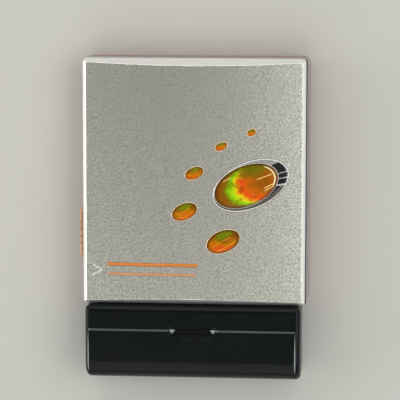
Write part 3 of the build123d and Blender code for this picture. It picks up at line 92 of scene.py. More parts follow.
# ---- Node materials ----
class Surface:
    """A Principled material whose colour, roughness and relief come from procedural nodes."""

    def __init__(self, name, **sockets):
        self.material = bpy.data.materials.new(name)
        self.material.use_nodes = True
        self.tree = self.material.node_tree
        self.shader = self.tree.nodes["Principled BSDF"]
        for socket, value in sockets.items():
            self.shader.inputs[socket.replace("_", " ")].default_value = value
        self.place = self.node("ShaderNodeTexCoord").outputs["Object"]
        self.relief = None

    def soften_edges(self, radius):
        """Shade the piece's edges as if they were rounded, as moulded and pressed parts are."""
        bevel = self.node("ShaderNodeBevel", samples=4)
        bevel.inputs["Radius"].default_value = radius
        self.relief = bevel.outputs[0]

    def node(self, kind, **settings):
        made = self.tree.nodes.new(kind)
        for setting, value in settings.items():
            setattr(made, setting, value)
        return made

    def link(self, source, target):
        self.tree.links.new(source, target)

    def feed(self, target, value):
        """Link a node's output to a socket, or write a plain value on it."""
        if isinstance(value, bpy.types.NodeSocket):
            self.link(value, target)
        else:
            target.default_value = value

    def math(self, operation, first, second=0.0, third=0.0, clamp=False):
        made = self.node("ShaderNodeMath", operation=operation, use_clamp=clamp)
        for socket, value in zip(made.inputs, (first, second, third)):
            self.feed(socket, value)
        return made.outputs[0]

    def split(self, vector):
        made = self.node("ShaderNodeSeparateXYZ")
        self.link(vector, made.inputs[0])
        return made.outputs

    def noise(self, size, detail=3.0, roughness=0.5, stretch=None, distortion=0.0):
        """Noise whose features are about size metres across, from 0 to 1."""
        place = self.place
        if stretch:
            mapping = self.node("ShaderNodeMapping")
            self.link(place, mapping.inputs["Vector"])
            mapping.inputs["Scale"].default_value = stretch
            place = mapping.outputs[0]
        made = self.node("ShaderNodeTexNoise")
        self.link(place, made.inputs["Vector"])
        made.inputs["Scale"].default_value = 1.0 / size
        made.inputs["Detail"].default_value = detail
        made.inputs["Roughness"].default_value = roughness
        made.inputs["Distortion"].default_value = distortion
        return made.outputs[0]

    def ramp(self, value, stops):
        """Colours at stations from 0 to 1."""
        made = self.node("ShaderNodeValToRGB")
        elements = made.color_ramp.elements
        elements.remove(elements[1])
        elements[0].position = stops[0][0]
        elements[0].color = stops[0][1]
        for station, colour in stops[1:]:
            elements.new(station).color = colour
        self.link(value, made.inputs[0])
        return made.outputs[0]

    def spread(self, value, low, high, to_low=0.0, to_high=1.0, smooth=False):
        """Map a range of a value to another range, clamped."""
        made = self.node("ShaderNodeMapRange", clamp=True)
        if smooth:
            made.interpolation_type = "SMOOTHSTEP"
        for socket, number in zip(made.inputs, (value, low, high, to_low, to_high)):
            self.feed(socket, number)
        return made.outputs[0]

    def blend(self, share, first, second):
        made = self.node("ShaderNodeMix", data_type="RGBA")
        self.feed(made.inputs[0], share)
        self.feed(made.inputs[6], first)
        self.feed(made.inputs[7], second)
        return made.outputs[2]

    def colour(self, value):
        self.feed(self.shader.inputs["Base Color"], value)

    def rough(self, value):
        self.feed(self.shader.inputs["Roughness"], value)

    def bump(self, height, depth):
        """Add relief of about depth metres; calls stack."""
        made = self.node("ShaderNodeBump")
        made.inputs["Distance"].default_value = depth
        self.link(height, made.inputs["Height"])
        if self.relief:
            self.link(self.relief, made.inputs["Normal"])
        self.relief = made.outputs[0]
        self.link(self.relief, self.shader.inputs["Normal"])


def shade(colour, factor):
    """A colour made lighter or darker."""
    return tuple(min(1.0, channel * factor) for channel in colour[:3]) + (1.0,)


EDGE = 0.12 * MM           # rounding of moulded and pressed edges
MOST = (0.3, 0.7)          # nearly all of a noise's values lie between these
GLOSS_SWING = 0.12         # how far cloudy gloss strays from its middle


def coated(name, colour, rough, grain, depth, variation=0.08, wear=0.05, **sockets):
    """A surface with fine grain, cloudy variation of colour and gloss, and faint handling marks."""
    surface = Surface(name, **sockets)
    surface.soften_edges(EDGE)
    fine = surface.noise(grain, detail=2.0)
    cloud = surface.noise(9 * MM, detail=4.0, roughness=0.6)
    mix = surface.math("MULTIPLY_ADD", fine, 0.6, surface.math("MULTIPLY", cloud, 0.4))
    tint = surface.spread(mix, *MOST)
    surface.colour(surface.blend(tint, shade(colour, 1 - variation), shade(colour, 1 + variation)))
    marks = surface.noise(1.6 * MM, detail=5.0, roughness=0.7, stretch=(1.0, 0.25, 1.0), distortion=0.6)
    scuff = surface.spread(marks, 0.6, 0.72, 0.0, wear)
    gloss = surface.spread(cloud, *MOST, rough * (1 - GLOSS_SWING), rough * (1 + GLOSS_SWING))
    surface.rough(surface.math("ADD", gloss, scuff, clamp=True))
    surface.bump(fine, depth)
    return surface


def lid_aluminium():
    """Blasted aluminium: a fine sparkling grain, a few cloudy patches and handling marks."""
    face = (0.575, 0.57, 0.5, 1.0)
    surface = Surface("lid_aluminium", Metallic=1.0, Specular_IOR_Level=0.5)
    grain = surface.noise(0.36 * MM, detail=1.0, roughness=0.8)
    speck = surface.noise(0.6 * MM, detail=1.0, roughness=0.6)
    cloud = surface.noise(8 * MM)
    mix = surface.math("MULTIPLY_ADD", speck, 0.45, surface.math("MULTIPLY", grain, 0.55))
    tint = surface.spread(mix, 0.4, 0.6)
    satin = surface.blend(tint, shade(face, 0.58), shade(face, 1.34))
    satin = surface.blend(surface.spread(cloud, 0.35, 0.65, 0.0, 0.3), satin, shade(face, 0.88))
    scratch = surface.noise(2.6 * MM, detail=1.0, stretch=(1.0, 14.0, 1.0), distortion=0.3)
    surface.colour(surface.blend(surface.spread(scratch, 0.71, 0.73, 0.0, 0.35), satin, shade(face, 1.4)))
    surface.rough(surface.spread(tint, 0.0, 1.0, 0.5, 0.34))
    surface.bump(mix, 0.07 * MM)
    return surface


def lid_polish():
    """The bevels and end bands of the lid: cut bright after blasting."""
    surface = Surface("lid_polish", Metallic=0.65)
    lines = surface.noise(0.5 * MM, detail=2.0, stretch=(0.15, 1.0, 1.0))
    surface.colour(surface.blend(surface.spread(lines, *MOST), (0.9, 0.9, 0.88, 1), (0.96, 0.96, 0.94, 1)))
    surface.rough(surface.spread(surface.noise(3 * MM), *MOST, 0.3, 0.38))
    surface.bump(lines, 0.0015 * MM)
    return surface


def gap_black_and_painted_reflection():
    """Dark gloss for the gap lines round the bezel, and for the painted dark reflection on the bezel's chrome
    floor beside the large oval.
    """
    surface = Surface("gap_black_and_painted_reflection", Coat_Weight=1.0, Coat_Roughness=0.03)
    cloud = surface.noise(1.5 * MM)
    surface.colour(surface.blend(cloud, (0.004, 0.004, 0.005, 1), (0.014, 0.014, 0.016, 1)))
    surface.rough(surface.spread(cloud, *MOST, 0.12, 0.2))
    surface.bump(cloud, 0.004 * MM)
    return surface


def bezel_silver_painted_reflection():
    """The far side of the bezel's floor: its chrome made lighter, a painted reflection."""
    surface = Surface("bezel_silver_painted_reflection", Metallic=0.9, Coat_Weight=1.0, Coat_Roughness=0.05)
    fine = surface.noise(0.3 * MM)
    surface.colour(surface.blend(fine, (0.58, 0.58, 0.55, 1), (0.74, 0.74, 0.71, 1)))
    surface.rough(surface.spread(fine, *MOST, 0.25, 0.33))
    surface.bump(fine, 0.003 * MM)
    return surface


# ---- Foils of the oval inlays ----
UMBER = (0.08, 0.026, 0.002, 1.0)
DEEP_AMBER = (0.22, 0.075, 0.002, 1.0)
AMBER = (0.95, 0.45, 0.03, 1.0)
OLIVE = (0.2, 0.17, 0.003, 1.0)
LEAF = (0.22, 0.26, 0.004, 1.0)
STRAW = (1.0, 0.66, 0.2, 1.0)
# Pale colour for a painted highlight along the large dome's edge
PAINTED_EDGE_HIGHLIGHT = (1.0, 0.86, 0.42, 1.0)
# The colours across the large oval, from its near end to its far end
LARGE_PLAY = ((0.07, (0.34, 0.11, 0.002, 1.0)), (0.18, (0.25, 0.17, 0.003, 1.0)),
              (0.27, (0.26, 0.55, 0.004, 1.0)), (0.35, (0.45, 0.8, 0.005, 1.0)),
              (0.42, (0.95, 0.76, 0.01, 1.0)), (0.49, (0.95, 0.3, 0.008, 1.0)),
              (0.57, (0.95, 0.085, 0.006, 1.0)), (0.7, (0.8, 0.15, 0.004, 1.0)),
              (0.84, (0.48, 0.13, 0.002, 1.0)), (1.0, (0.4, 0.11, 0.001, 1.0)))
# And across the small ones, from their upper to their lower side
SMALL_PLAY = ((0.1, (0.26, 0.08, 0.002, 1.0)), (0.3, (0.3, 0.1, 0.002, 1.0)),
              (0.45, (0.5, 0.17, 0.002, 1.0)), (0.6, (0.68, 0.2, 0.002, 1.0)),
              (0.76, (0.8, 0.09, 0.004, 1.0)), (0.95, (0.72, 0.26, 0.004, 1.0)))
# Painted highlight streaks along an oval: middle across it, start and stop along it, and lean
LARGE_HIGHLIGHT_STREAKS = ((0.12, 0.34, 0.88, -0.1), (-0.62, 0.4, 0.78, 0.08), (-0.48, 0.42, 0.82, 0.05),
                 (0.72, -0.62, -0.28, 0.1))
SMALL_HIGHLIGHT_STREAKS = ((0.06, -0.7, 0.55, 0.16), (-0.55, -0.5, 0.75, 0.2))
STREAK_CORE, STREAK_EDGE = 0.014, 0.035
STREAK_FADE = 0.08


def foil(name):
    """A clear coat over bright foil, with the inlay's own coordinates and an uneven shift.

    The coordinates run along and across each oval from -1 to 1."""
    surface = Surface(name, Metallic=0.25, Coat_Weight=0.22, Coat_Roughness=0.05, Specular_IOR_Level=0.1)
    drift = surface.noise(3.2 * MM, detail=2.0)
    shift = surface.math("MULTIPLY", surface.math("SUBTRACT", drift, 0.5), 0.55)
    place = surface.split(surface.node("ShaderNodeUVMap", uv_map="oval").outputs[0])
    along = surface.math("SUBTRACT", surface.math("MULTIPLY", place[0], 2.0), 1.0)
    across = surface.math("SUBTRACT", surface.math("MULTIPLY", place[1], 2.0), 1.0)
    return surface, along, across, shift


def distance(surface, along, across):
    """Distance from the middle of a unit circle."""
    square = surface.math("MULTIPLY_ADD", along, along, surface.math("MULTIPLY", across, across))
    return surface.math("SQRT", square)


def soft_spot(surface, along, across, middle, reach, shift):
    """From 1 at a spot's middle to 0 outside its reach."""
    u = surface.math("DIVIDE", surface.math("SUBTRACT", along, middle[0]), reach[0])
    v = surface.math("DIVIDE", surface.math("SUBTRACT", across, middle[1]), reach[1])
    shifted = surface.math("ADD", distance(surface, u, v), shift)
    return surface.spread(shifted, 0.35, 1.05, 1.0, 0.0, smooth=True)


def painted_highlight_streak(surface, along, across, middle, start, stop, lean):
    """A thin painted highlight line along an oval between two stations."""
    line = surface.math("MULTIPLY_ADD", along, lean, middle)
    off = surface.math("ABSOLUTE", surface.math("SUBTRACT", across, line))
    core = surface.spread(off, STREAK_CORE, STREAK_EDGE, 1.0, 0.0, smooth=True)
    entry = surface.spread(along, start, start + STREAK_FADE, smooth=True)
    leave = surface.spread(along, stop - STREAK_FADE, stop, 1.0, 0.0, smooth=True)
    return surface.math("MULTIPLY", core, surface.math("MULTIPLY", entry, leave))


def foil_finish(surface, along, across, colour, highlight_streaks, glint, edge_start):
    """Add painted highlight streaks, a darker edge and a little unevenness; gives the colour."""
    for middle, start, stop, lean in highlight_streaks:
        colour = surface.blend(painted_highlight_streak(surface, along, across, middle, start, stop, lean), colour, glint)
    edge = surface.spread(distance(surface, along, across), edge_start, 0.99, 0.0, 0.85, smooth=True)
    surface.rough(surface.spread(surface.noise(3.4 * MM), *MOST, 0.22, 0.34))
    surface.bump(surface.noise(1.8 * MM), 0.012 * MM)
    return surface.blend(edge, colour, UMBER)


def small_oval_foil():
    """Amber and orange slant across each small oval, with a green patch in its upper half."""
    surface, along, across, shift = foil("gem_orange")
    patch = surface.noise(2.6 * MM, detail=1.0)
    patch = surface.math("MULTIPLY", surface.math("SUBTRACT", patch, 0.5), 0.9)
    slant = surface.math("MULTIPLY_ADD", across, -0.42, surface.math("MULTIPLY_ADD", along, -0.12, 0.46))
    play = surface.ramp(surface.math("ADD", slant, patch), SMALL_PLAY)
    play = surface.blend(soft_spot(surface, along, across, (0.2, 0.55), (0.75, 0.45), shift), play, LEAF)
    surface.colour(foil_finish(surface, along, across, play, SMALL_HIGHLIGHT_STREAKS, AMBER, 0.72))
    return surface


def large_oval_foil():
    """Lime, yellow and red follow a bowed line across the oval; the far side is olive and amber."""
    surface, along, across, shift = foil("gem_large")
    lifted = surface.math("ADD", across, 0.05)
    bow = surface.math("MULTIPLY_ADD", surface.math("MULTIPLY", lifted, lifted), 0.45, -0.3)
    reach = surface.math("ADD", surface.math("SUBTRACT", along, bow), surface.math("MULTIPLY", shift, 0.9))
    play = surface.ramp(surface.spread(reach, -0.6, 0.8), LARGE_PLAY)
    play = surface.blend(soft_spot(surface, along, across, (0.5, 0.72), (0.85, 0.6), shift), play, OLIVE)
    depth = surface.spread(surface.noise(2.2 * MM, detail=2.0, distortion=0.8), 0.52, 0.68, 0.0, 0.55)
    play = surface.blend(depth, play, DEEP_AMBER)
    colour = foil_finish(surface, along, across, play, LARGE_HIGHLIGHT_STREAKS, STRAW, 0.82)
    # A pale arc near the dome's edge at its far end: painted highlight
    ring = surface.math("ABSOLUTE", surface.math("SUBTRACT", distance(surface, along, across), 0.9))
    ring = surface.spread(ring, 0.012, 0.03, 1.0, 0.0, smooth=True)
    side = surface.spread(along, 0.68, 0.78, smooth=True)
    surface.colour(surface.blend(surface.math("MULTIPLY", ring, side), colour, PAINTED_EDGE_HIGHLIGHT))
    return surface


# ---- One material for each slot of the record, and for the trim ----
# Name: colour, roughness, size of the grain and its relief in millimetres, and further settings
FINISHES = {
    "frame_silver": ((0.5, 0.5, 0.48), 0.33, 0.12, 0.004, {"Metallic": 0.85}),
    "orange_shell": ((0.38, 0.17, 0.095), 0.35, 0.1, 0.003, {"Metallic": 0.4}),
    "slider_orange": ((0.6, 0.34, 0.2), 0.3, 0.1, 0.003, {"Metallic": 0.4}),
    "key_silver": ((0.6, 0.6, 0.58), 0.28, 0.1, 0.003, {"Metallic": 0.8}),
    "case_black": ((0.002, 0.0035, 0.0042), 0.27, 0.25, 0.002,
                   {"variation": 0.3, "wear": 0.03, "Specular_IOR_Level": 0.18}),
    "steel": ((0.56, 0.56, 0.55), 0.3, 0.3, 0.003, {"Metallic": 1.0}),
    "can_steel": ((0.5, 0.5, 0.49), 0.26, 0.4, 0.003, {"Metallic": 1.0}),
    "contact_nickel": ((0.7, 0.68, 0.62), 0.2, 0.3, 0.002, {"Metallic": 1.0}),
    "terminal_gold": ((0.83, 0.6, 0.25), 0.22, 0.3, 0.002, {"Metallic": 1.0}),
    "bezel_chrome": ((0.95, 0.93, 0.88), 0.2, 0.3, 0.001, {"variation": 0.02, "Metallic": 0.6}),
    "deck_dark": ((0.035, 0.035, 0.038), 0.5, 0.15, 0.01, {}),
    "sled_plastic": ((0.06, 0.06, 0.066), 0.45, 0.2, 0.01, {}),
    "lens_glass": ((0.55, 0.65, 0.95), 0.05, 0.4, 0.0005, {"Transmission_Weight": 0.7}),
    "board_green": ((0.015, 0.16, 0.07), 0.32, 0.5, 0.006, {"variation": 0.2}),
    "chip_black": ((0.02, 0.02, 0.022), 0.5, 0.1, 0.004, {}),
    "damper_rubber": ((0.02, 0.02, 0.02), 0.75, 0.2, 0.01, {}),
    "cell_wrap": ((0.42, 0.44, 0.45), 0.3, 0.3, 0.002, {"Metallic": 0.5}),
    "dry_cell_wrap": ((0.3, 0.32, 0.34), 0.25, 0.3, 0.002, {"Metallic": 0.5}),
    "wheel_plastic": ((0.02, 0.02, 0.022), 0.42, 0.2, 0.008, {}),
    # Trim round the ovals, painted shade on the bezel's floor, and painted highlights on the battery case
    "rim_warm": ((0.95, 0.74, 0.46), 0.24, 0.3, 0.001, {"variation": 0.1, "Metallic": 0.75}),
    # A darkened copy of the bezel's chrome floor for its near side: painted shade
    "floor_painted_shade": ((0.16, 0.15, 0.13), 0.3, 0.3, 0.002, {"Metallic": 0.7}),
    "grey_painted_highlight": ((0.06, 0.07, 0.064), 0.3, 0.3, 0.002, {}),
    "bright_painted_highlight": ((0.3, 0.33, 0.33), 0.22, 0.3, 0.002, {}),
    # Screen-printed ink, a little uneven
    "ink_orange": ((0.72, 0.22, 0.03), 0.5, 0.25, 0.004, {"variation": 0.1}),
    "ink_pale_orange": ((0.66, 0.3, 0.13), 0.5, 0.25, 0.004, {"variation": 0.1}),
    "ink_cream": ((0.95, 0.92, 0.82), 0.4, 0.25, 0.004, {"variation": 0.1}),
}

materials = {name: coated(name, colour, rough, grain * MM, relief * MM, **more)
             for name, (colour, rough, grain, relief, more) in FINISHES.items()}
materials["lid_aluminium"] = lid_aluminium()
materials["lid_polish"] = lid_polish()
materials["gap_black_and_painted_reflection"] = gap_black_and_painted_reflection()
materials["bezel_silver_painted_reflection"] = bezel_silver_painted_reflection()
materials["gem_orange"] = small_oval_foil()
materials["gem_large"] = large_oval_foil()

slot_of = {part["node"]: part["material_slot"] for part in frame["record"]["subparts"]}
for node_name, node_object in frame["nodes"].items():
    for slot in node_object.material_slots:
        slot.material = materials[slot_of[node_name]].material


# ---- Meshes ----
def add_mesh(name, points, faces, finishes, body, smooth=True, face_finish=None):
    """A piece made of points and faces, riding on a body."""
    mesh = bpy.data.meshes.new(name)
    mesh.from_pydata(points, [], faces)
    for finish in finishes:
        mesh.materials.append(materials[finish].material)
    mesh.validate()
    mesh.polygons.foreach_set("use_smooth", [smooth] * len(mesh.polygons))
    if face_finish:
        mesh.polygons.foreach_set("material_index", face_finish)
    cleaner = bmesh.new()
    cleaner.from_mesh(mesh)
    bmesh.ops.recalc_face_normals(cleaner, faces=cleaner.faces)
    cleaner.to_mesh(mesh)
    cleaner.free()
    piece = bpy.data.objects.new(name, mesh)
    bpy.context.collection.objects.link(piece)
    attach(piece, body)
    return piece


def tube_faces(start, count, around):
    """Faces of a closed tube: count sections of around points each, numbered from start."""
    faces = []
    for near in range(start, start + (count - 1) * around, around):
        for step in range(around):
            after = (step + 1) % around
            faces.append((near + step, near + after, near + around + after, near + around + step))
    last = start + (count - 1) * around
    faces.append(tuple(range(start, start + around)))
    faces.append(tuple(range(last, last + around)))
    return faces


def lid_slab(name, rows, sink, finish):
    """A thin closed piece on the lid: rows of points on top, and the same rows sunk under the lid's face."""
    width = len(rows[0])
    points = [point for row in rows for point in row]
    count = len(points)
    points += [(x, y, crown_height(x) - sink) for x, y, _ in points]
    faces = []
    for index in range(len(rows) - 1):
        first = index * width
        for corner in range(first, first + width - 1):
            face = (corner, corner + 1, corner + width + 1, corner + width)
            faces.append(face)
            faces.append(tuple(count + place for place in reversed(face)))
        for edge in (first, first + width - 1):
            faces.append((edge, edge + width, count + edge + width, count + edge))
    for row in (0, (len(rows) - 1) * width):
        for corner in range(row, row + width - 1):
            faces.append((corner, corner + 1, count + corner + 1, count + corner))
    add_mesh(name, points, faces, (finish,), "lid")


# ---- The lid's sheet ----
def soft_min(values, blend):
    """The lowest of some values, rounded where two are close."""
    lowest = min(values)
    return lowest - blend * log(sum(exp((lowest - value) / blend) for value in values))


def graded(low, high, edge, outer, inner):
    """Stations from low to high: outer steps within edge of each end and inner steps between."""
    stations = [low + edge * index / outer for index in range(outer)]
    stations += [low + edge + (high - low - 2 * edge) * index / inner for index in range(inner)]
    stations += [high - edge + edge * index / outer for index in range(outer + 1)]
    return stations


def round_corner(x, y, x0, x1, half_y, radius):
    """Move a point of a rectangle's grid so that the rectangle's corners become round."""
    corner_x = min(max(x, x0 + radius), x1 - radius)
    corner_y = min(max(y, -half_y + radius), half_y - radius)
    across, along = x - corner_x, y - corner_y
    if across == 0 or along == 0:
        return x, y
    shrink = max(abs(across), abs(along)) / sqrt(across * across + along * along)
    return corner_x + across * shrink, corner_y + along * shrink


def lid_height(x, y, inset):
    """Height of the lid's form, shrunk by inset, and whether the point lies on the crowned face."""
    half_y = lid_high.y - inset
    crown = crown_height(x) - inset
    lean = sqrt(1 + 1 / BAND_SLOPE ** 2)
    band = lid_low.z + LID_SKIRT + (half_y - abs(y)) * BAND_SLOPE - inset * (lean - 1) * BAND_SLOPE
    bevels = []
    for (width, height), run in ((BEVEL_LEFT, x - lid_low.x - inset), (BEVEL_RIGHT, lid_high.x - inset - x)):
        foot = LID_TOP - LID_CROWN - height - inset * BEVEL_DROP
        bevels.append(foot + run * height / width)
    return soft_min((crown, band, *bevels), LID_CREASE), min(band, *bevels) > crown


SATIN, POLISHED = 0, 1


def lid_sheet(inset, start):
    """One side of the sheet, inset below the outer one, its points numbered from start.

    It gives the points, the faces, each face's finish and the points round the edge."""
    edge_steps, middle_columns, middle_rows = 20, 60, 56
    x0, x1 = lid_low.x + inset, lid_high.x - inset
    half_y = lid_high.y - inset
    across = graded(x0, x1, SIDE_STRIP, edge_steps, middle_columns)
    along = graded(-half_y, half_y, END_STRIP, edge_steps, middle_rows)
    columns, rows = len(across), len(along)
    points = []
    on_crown = []
    for y in along:
        for x in across:
            px, py = round_corner(x, y, x0, x1, half_y, LID_CORNER - inset)
            height, crowned = lid_height(px, py, inset)
            points.append((px, py, height))
            on_crown.append(crowned)
    faces = []
    finishes = []
    for row in range(rows - 1):
        for column in range(columns - 1):
            corner = row * columns + column
            face = (corner, corner + 1, corner + columns + 1, corner + columns)
            faces.append(tuple(start + index for index in face))
            satin = inset > 0 or sum(on_crown[index] for index in face) > 2
            finishes.append(SATIN if satin else POLISHED)
    edge = list(range(columns))
    edge += [row * columns + columns - 1 for row in range(1, rows)]
    edge += [(rows - 1) * columns + column for column in range(columns - 2, -1, -1)]
    edge += [row * columns for row in range(rows - 2, 0, -1)]
    return points, faces, finishes, [start + index for index in edge]


def lid_skin():
    """The lid panel as one smooth closed sheet: crowned face, bevels, end bands and skirt, and its inside."""
    points = []
    faces = []
    finishes = []
    edges = []
    for inset in (0.0, LID_PANEL):
        sheet_points, sheet_faces, sheet_finishes, edge = lid_sheet(inset, len(points))
        points += sheet_points
        faces += sheet_faces
        finishes += sheet_finishes
        edges.append(edge)
    notch_x = box("hinge_pins")[0].x + HINGE_NOTCH_START
    notch_y = lid_high.y - HINGE_NOTCH_LENGTH
    feet = []
    for edge in edges:
        feet.append(range(len(points), len(points) + len(edge)))
        for index in edge:
            x, y, _ = points[index]
            lifted = x > notch_x and abs(y) > notch_y
            points.append((x, y, lid_low.z + (HINGE_NOTCH_HEIGHT if lifted else 0.0)))
    outer, inner = edges
    outer_foot, inner_foot = feet
    for index in range(len(outer)):
        after = (index + 1) % len(outer)
        faces.append((outer[index], outer[after], outer_foot[after], outer_foot[index]))
        faces.append((inner[index], inner[after], inner_foot[after], inner_foot[index]))
        faces.append((outer_foot[index], outer_foot[after], inner_foot[after], inner_foot[index]))
        finishes += [POLISHED, SATIN, POLISHED]
    skin = add_mesh("lid_skin", points, faces, ("lid_aluminium", "lid_polish"), "lid",
                    face_finish=finishes)
    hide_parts("lid_panel")


# ---- The oval inlays ----
STEEPNESS = 0.985          # of a dome at its edge, where 1 is upright
EDGE_FALL = 0.25           # how much lower than an ellipsoid a dome runs towards its edge
DOME_ROOT = 0.3 * MM       # depths under the lid's face
RIM_ROOT = 0.1 * MM
FLOOR_ROOT = 0.2 * MM
FLOOR_INNER_LAP = 0.1 * MM             # of the bezel's floor, under the oval
FLOOR_OUTER_GAP = 0.15 * MM            # and short of the bezel's outline
POINTED = 0.02             # least width of a tapered crescent, as a share

# Raised rims: name, ovals, how far outside them, half width and rise in millimetres, finish, replaced node
RIMS = (("small_oval_rims", SMALL_OVALS, 0.05, 0.15, 0.1, "rim_warm", "small_rims"),
        ("bezel_outer_rim", [BEZEL_OVAL], -0.05, 0.17, 0.16, "bezel_chrome", "oval_bezel"),
        ("bezel_inner_rim", [LARGE_OVAL], 0.05, 0.12, 0.14, "bezel_chrome", None))
# Dark lines just outside the bezel's rims, written in the same way
GAP_LINES = (("bezel_gap", [BEZEL_OVAL], 0.2, 0.09, 0.02, "gap_black_and_painted_reflection", None),
             ("bezel_inner_gap", [LARGE_OVAL], 0.2, 0.09, 0.02, "gap_black_and_painted_reflection", None))
# Crescents: name, first and last turn in degrees, rise and swell in millimetres, finish, reach, tapered
# The bezel's floor is a lightened copy of its chrome on the far side (painted reflection) and a darkened copy
# on the near side (painted shade)
CRESCENTS = (("bezel_floor", -40, 135, 0.01, 0.0, "bezel_silver_painted_reflection", 1.0, False),
             ("bezel_floor_near_painted_shade", 134, 330, 0.01, 0.0, "floor_painted_shade", 1.0, False),
             # The inlay and its tail are dark gloss laid on the chrome floor: a painted dark reflection
             ("bezel_painted_reflection", -34, 27, 0.03, 0.05, "gap_black_and_painted_reflection", 0.97, False),
             ("bezel_painted_reflection_tail", -82, -36, 0.03, 0.02, "gap_black_and_painted_reflection", 0.55, True),
             # The three glints are thin bright bars across the painted reflection: painted highlights
             ("bezel_glint_high", -4.7, -3.3, 0.07, 0.05, "bezel_chrome", 1.0, False),
             ("bezel_glint_middle", -19.4, -17.6, 0.07, 0.05, "bezel_chrome", 1.0, False),
             ("bezel_glint_low", -36.7, -33.3, 0.07, 0.05, "bezel_chrome", 1.0, False))


def oval_point(oval, turn, reach=1.0, grow=0.0):
    """A point of an oval inlay's outline, or inside it, in plan."""
    x, y, half_long, half_wide = oval
    along = (half_long + grow) * reach * cos(turn)
    side = (half_wide + grow) * reach * sin(turn)
    return (x + along * cos(OVAL_TURN) - side * sin(OVAL_TURN),
            y + along * sin(OVAL_TURN) + side * cos(OVAL_TURN))


def oval_domes(name, ovals, edge_rise, rises, finish, node):
    """Domed ovals as one piece: each swells from its edge to its middle and has an upright side."""
    around, steps = 96, 14
    turns = [2 * pi * index / around for index in range(around)]
    points = []
    faces = []
    places = []
    for oval, rise in zip(ovals, rises):
        start = len(points)
        points.append((oval[0], oval[1], crown_height(oval[0]) + edge_rise + rise))
        places.append((0.5, 0.5))
        for step in range(1, steps + 1):
            reach = sin(pi / 2 * step / steps)
            swell = sqrt(1.0 - reach * reach * STEEPNESS) * (1.0 - EDGE_FALL * reach * reach)
            for turn in turns:
                x, y = oval_point(oval, turn, reach)
                points.append((x, y, crown_height(x) + edge_rise + rise * swell))
                places.append((0.5 + 0.5 * reach * cos(turn), 0.5 + 0.5 * reach * sin(turn)))
        for turn in turns:
            x, y = oval_point(oval, turn)
            points.append((x, y, crown_height(x) - DOME_ROOT))
        places += places[-around:]
        for index in range(around):
            after = (index + 1) % around
            faces.append((start, start + 1 + index, start + 1 + after))
            for ring in range(steps):
                near = start + 1 + ring * around
                far = near + around
                faces.append((near + index, far + index, far + after, near + after))
        last = start + 1 + steps * around
        faces.append(tuple(range(last, last + around)))
    piece = add_mesh(name, points, faces, (finish,), "lid")
    layer = piece.data.uv_layers.new(name="oval")
    for loop in piece.data.loops:
        layer.data[loop.index].uv = places[loop.vertex_index]
    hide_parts(node)


def oval_rims(name, ovals, grow, half_width, rise, finish, node):
    """Thin raised rims round ovals: a half-round wire that follows each outline. Sizes in millimetres."""
    around, steps = 120, 10
    width = steps + 1
    points = []
    faces = []
    for oval in ovals:
        start = len(points)
        for index in range(around):
            for step in range(width):
                angle = pi * step / steps
                x, y = oval_point(oval, 2 * pi * index / around, grow=(grow + half_width * cos(angle)) * MM)
                points.append((x, y, crown_height(x) - RIM_ROOT + (rise * MM + RIM_ROOT) * sin(angle)))
        for index in range(around):
            near = start + index * width
            far = start + (index + 1) % around * width
            for step in range(steps):
                faces.append((near + step, far + step, far + step + 1, near + step + 1))
            faces.append((near + steps, far + steps, far, near))
    piece = add_mesh(name, points, faces, (finish,), "lid")
    if node:
        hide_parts(node)


def crescent(name, first, last, rise, swell, finish, reach, tapered):
    """A stretch of the bezel's floor between the large oval and the outer rim, from one turn to another.

    It reaches some way from the inner to the outer edge, or tapers to nothing at its first turn."""
    along, steps = 72, 10
    rows = []
    for index in range(along + 1):
        turn = radians(first + (last - first) * index / along)
        inner = oval_point(LARGE_OVAL, turn, grow=-FLOOR_INNER_LAP)
        outer = oval_point(BEZEL_OVAL, turn, grow=-FLOOR_OUTER_GAP)
        extent = reach * max(index / along, POINTED) if tapered else reach
        row = []
        for step in range(steps + 1):
            share = extent * step / steps
            x = inner[0] + (outer[0] - inner[0]) * share
            y = inner[1] + (outer[1] - inner[1]) * share
            bulge = swell * 4 * share * (extent - share) / extent
            row.append((x, y, crown_height(x) + (rise + bulge) * MM))
        rows.append(row)
    lid_slab(name, rows, FLOOR_ROOT, finish)


def inlays():
    oval_domes("large_dome", [LARGE_OVAL], 0.1 * MM, [0.5 * MM], "gem_large", "large_gem")
    small_rises = [0.05 * half_long for _, _, half_long, _ in SMALL_OVALS]
    oval_domes("small_domes", SMALL_OVALS, 0.06 * MM, small_rises, "gem_orange", "small_gems")
    for rim in RIMS:
        oval_rims(*rim)
    for stretch in CRESCENTS:
        crescent(*stretch)
    for line in GAP_LINES:
        oval_rims(*line)


# ---- Prints on the lid ----
INK = 0.012 * MM           # height of the ink above the lid's face, and depth under it
ARROW_TIP = (-29.55, -28.1)
# Name, start, end, width in millimetres, and finish
STROKES = (("stripe_long", (-27.9, -26.2), (1.1, -26.2), 1.15, "ink_orange"),
           ("stripe_short", (-27.7, -29.3), (0.5, -29.3), 0.9, "ink_pale_orange"),
           ("arrow_upper", (-32.6, -26.5), ARROW_TIP, 0.4, "ink_cream"),
           ("arrow_lower", (-32.9, -30.0), ARROW_TIP, 0.4, "ink_cream"))


